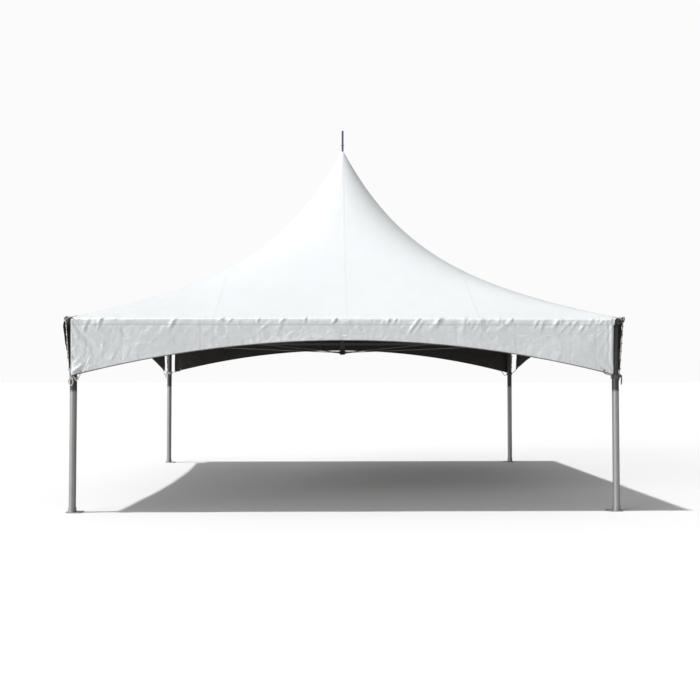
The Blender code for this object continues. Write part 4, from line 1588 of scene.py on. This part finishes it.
class MARQUEE_OT_fixings(Operator):
    """Adds the frame's bolts, spring buttons and welds"""

    bl_idname = "marquee.fixings"
    bl_label = "Bolts and Welds"

    def execute(self, context):
        diameter = context.scene.marquee_hardware.bolt
        for corner, turns in CORNERS.items():
            place = corner_place(corner)
            parts = bolt_parts(UP * LEG_BOLT, SIDEWAYS, LEG_RADIUS, diameter)
            parts += push_button_parts(Vector((0, -LEG_RADIUS, BUTTON_HEIGHT)), Vector((0, -1, 0)))
            for level in HEAD_WELDS:
                parts.append((bead_shape(HEAD_RADIUS - 0.0012, level, 0.0026, turns + level), UNMOVED))
            add_fixings(f"corner_fixings_{corner}", parts, place)
            welds = merged([
                (bead_shape(COLLAR_RADIUS + 0.001, PLATE_TOP + 0.0022, 0.0036, turns + 2.0), place),
                (bead_shape(LEG_RADIUS + 0.0022, COLLAR_TOP + 0.0003, 0.0018, turns + 5.0), place),
            ])
            add_piece(f"foot_weld_{corner}", welds, ["foot_zinc"])
        for side, turns in SIDES.items():
            parts = []
            for along in EAVE_BUTTONS:
                middle = Vector((along, -TUBE_AXIS, TUBE_Z))
                parts += push_button_parts(middle + BUTTON_FACING * TUBE_RADIUS, BUTTON_FACING)
            sleeve = ring_shape(TUBE_RADIUS + 0.0002, 0.0013, 48, 6)
            parts.append((sleeve, facing_matrix(Vector((0, -TUBE_AXIS, TUBE_Z)), Vector((1, 0, 0)))))
            add_fixings(f"eave_fixings_{side}", parts, turned(turns))
        parts = bolt_parts(UP * (MAST_FOOT_TOP + 0.045), Vector((0, 1, 0)), MAST_RADIUS, diameter * 0.8)
        parts.append((bead_shape(MAST_FOOT_NECK, MAST_FOOT_TOP - 0.0012, 0.0020, 9.0), UNMOVED))
        add_fixings("mast_fixings", parts)
        return {"FINISHED"}


# The frame's own pieces

class MARQUEE_OT_metalwork(Operator):
    """Gives the frame's own pieces their finishes"""

    bl_idname = "marquee.metalwork"
    bl_label = "Metal Finishes"

    def execute(self, context):
        finishes = make_finishes(context.scene)
        for node, piece in frame["nodes"].items():
            piece.data.materials.clear()
            piece.data.materials.append(finishes[finish_of(node)])
        return {"FINISHED"}


def finish_of(node):
    """The finish that suits a CAD node, by the start of its name."""
    if node.startswith("eave_tube"):
        return "aluminium_across" if node.split("_")[2] in ("front", "back") else "aluminium_deep"
    starts = {
        "leg": "aluminium_upright",
        "mast_tube": "aluminium_mast",
        "cross_cable": "cable_steel",
        "finial": "finial_paint",
        "roof_panel": "vinyl_white",
        "valance_tie": "rope_yarn",
        "valance": "vinyl_white",
    }
    for start, finish in starts.items():
        if node.startswith(start):
            return finish
    return "foot_zinc" if node.startswith("foot") else "fitting_steel"


# Stage

FLOOR_HALF = 400
SENSOR_WIDTH = 36
SUN_FORWARD = math.radians(2)
FILL_SPREAD = math.radians(38)
FILL_TILT = math.radians(78)
FILL_TURN = math.radians(52)
SKY_SEEN = 0.965
SKY_LEAN = 0.5


class MARQUEE_OT_stage(Operator):
    """Lays the floor and sets the lights and the camera"""

    bl_idname = "marquee.stage"
    bl_label = "Stage"

    def execute(self, context):
        stage = context.scene.marquee_stage
        add_floor(context.scene.marquee_colours)
        add_sun("key_light", stage.sun, stage.sun_spread, (SUN_FORWARD, -stage.sun_tilt, 0))
        add_sun("fill_light", stage.fill, FILL_SPREAD, (FILL_TILT, 0, -FILL_TURN))
        add_sky(context.scene, stage)
        add_camera(context.scene, stage)
        context.scene.view_settings.view_transform = "Standard"
        return {"FINISHED"}


def add_floor(colours):
    shape = bmesh.new()
    bmesh.ops.create_grid(shape, x_segments=1, y_segments=1, size=FLOOR_HALF)
    mesh = mesh_of("studio_floor", shape)
    mesh.materials.append(floor_finish("floor_pale", colours.floor))
    floor = put("studio_floor", mesh)


def add_sun(name, strength, spread, aim):
    light = bpy.data.lights.new(name, "SUN")
    light.energy = strength
    light.angle = spread
    put(name, light).rotation_euler = aim


def add_sky(scene, stage):
    """A soft sky, brighter to the left, and seen as pale as the floor so that no horizon shows."""
    world = bpy.data.worlds.new("studio_sky")
    world.use_nodes = True
    scene.world = world
    tree = world.node_tree
    background = tree.nodes["Background"]
    background.inputs["Color"].default_value = (1, 1, 1, 1)
    across = axes(tree, add_node(tree, "ShaderNodeTexCoord").outputs["Generated"])["X"]
    light = ramp(tree, across, stage.sky * (1 + SKY_LEAN), stage.sky * (1 - SKY_LEAN), -1, 1)
    strength = add_node(tree, "ShaderNodeMix", B=SKY_SEEN)
    tree.links.new(light, strength.inputs["A"])
    tree.links.new(seen_directly(tree), strength.inputs["Factor"])
    tree.links.new(strength.outputs["Result"], background.inputs["Strength"])


def add_camera(scene, stage):
    data = bpy.data.cameras.new("camera")
    data.lens = stage.lens
    data.sensor_width = SENSOR_WIDTH
    camera = put("camera", data)
    camera.location = stage.place
    camera.rotation_euler = (QUARTER + stage.pitch, 0, stage.yaw)
    scene.camera = camera


class MARQUEE_PT_tent(Panel):
    """Lists the tent's pieces in the sidebar"""

    bl_idname = "MARQUEE_PT_tent"
    bl_label = "Marquee Tent"
    bl_space_type = "VIEW_3D"
    bl_region_type = "UI"
    bl_category = "Marquee"

    def draw(self, context):
        scene = context.scene
        for name in GROUPS:
            group = getattr(scene, name)
            box = self.layout.box()
            for key in group.__annotations__:
                box.prop(group, key)
        for operator in OPERATORS:
            self.layout.operator(operator.bl_idname)


GROUPS = {
    "marquee_cloth": MarqueeCloth,
    "marquee_hardware": MarqueeHardware,
    "marquee_colours": MarqueeColours,
    "marquee_stage": MarqueeStage,
}
OPERATORS = (
    MARQUEE_OT_stage,
    MARQUEE_OT_metalwork,
    MARQUEE_OT_roof,
    MARQUEE_OT_valances,
    MARQUEE_OT_ties,
    MARQUEE_OT_corners,
    MARQUEE_OT_cables,
    MARQUEE_OT_fixings,
)


def register():
    for name, group in GROUPS.items():
        bpy.utils.register_class(group)
        setattr(bpy.types.Scene, name, PointerProperty(type=group))
    for operator in OPERATORS:
        bpy.utils.register_class(operator)
    bpy.utils.register_class(MARQUEE_PT_tent)


def unregister():
    bpy.utils.unregister_class(MARQUEE_PT_tent)
    for operator in reversed(OPERATORS):
        bpy.utils.unregister_class(operator)
    for name, group in GROUPS.items():
        delattr(bpy.types.Scene, name)
        bpy.utils.unregister_class(group)


def main():
    register()
    for item in list(bpy.data.objects):
        if "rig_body" not in item and item.type in {"LIGHT", "CAMERA"}:
            bpy.data.objects.remove(item)
    bpy.ops.marquee.stage()
    bpy.ops.marquee.metalwork()
    bpy.ops.marquee.roof()
    bpy.ops.marquee.valances()
    bpy.ops.marquee.ties()
    bpy.ops.marquee.corners()
    bpy.ops.marquee.cables()
    bpy.ops.marquee.fixings()


if __name__ == "__main__":
    main()
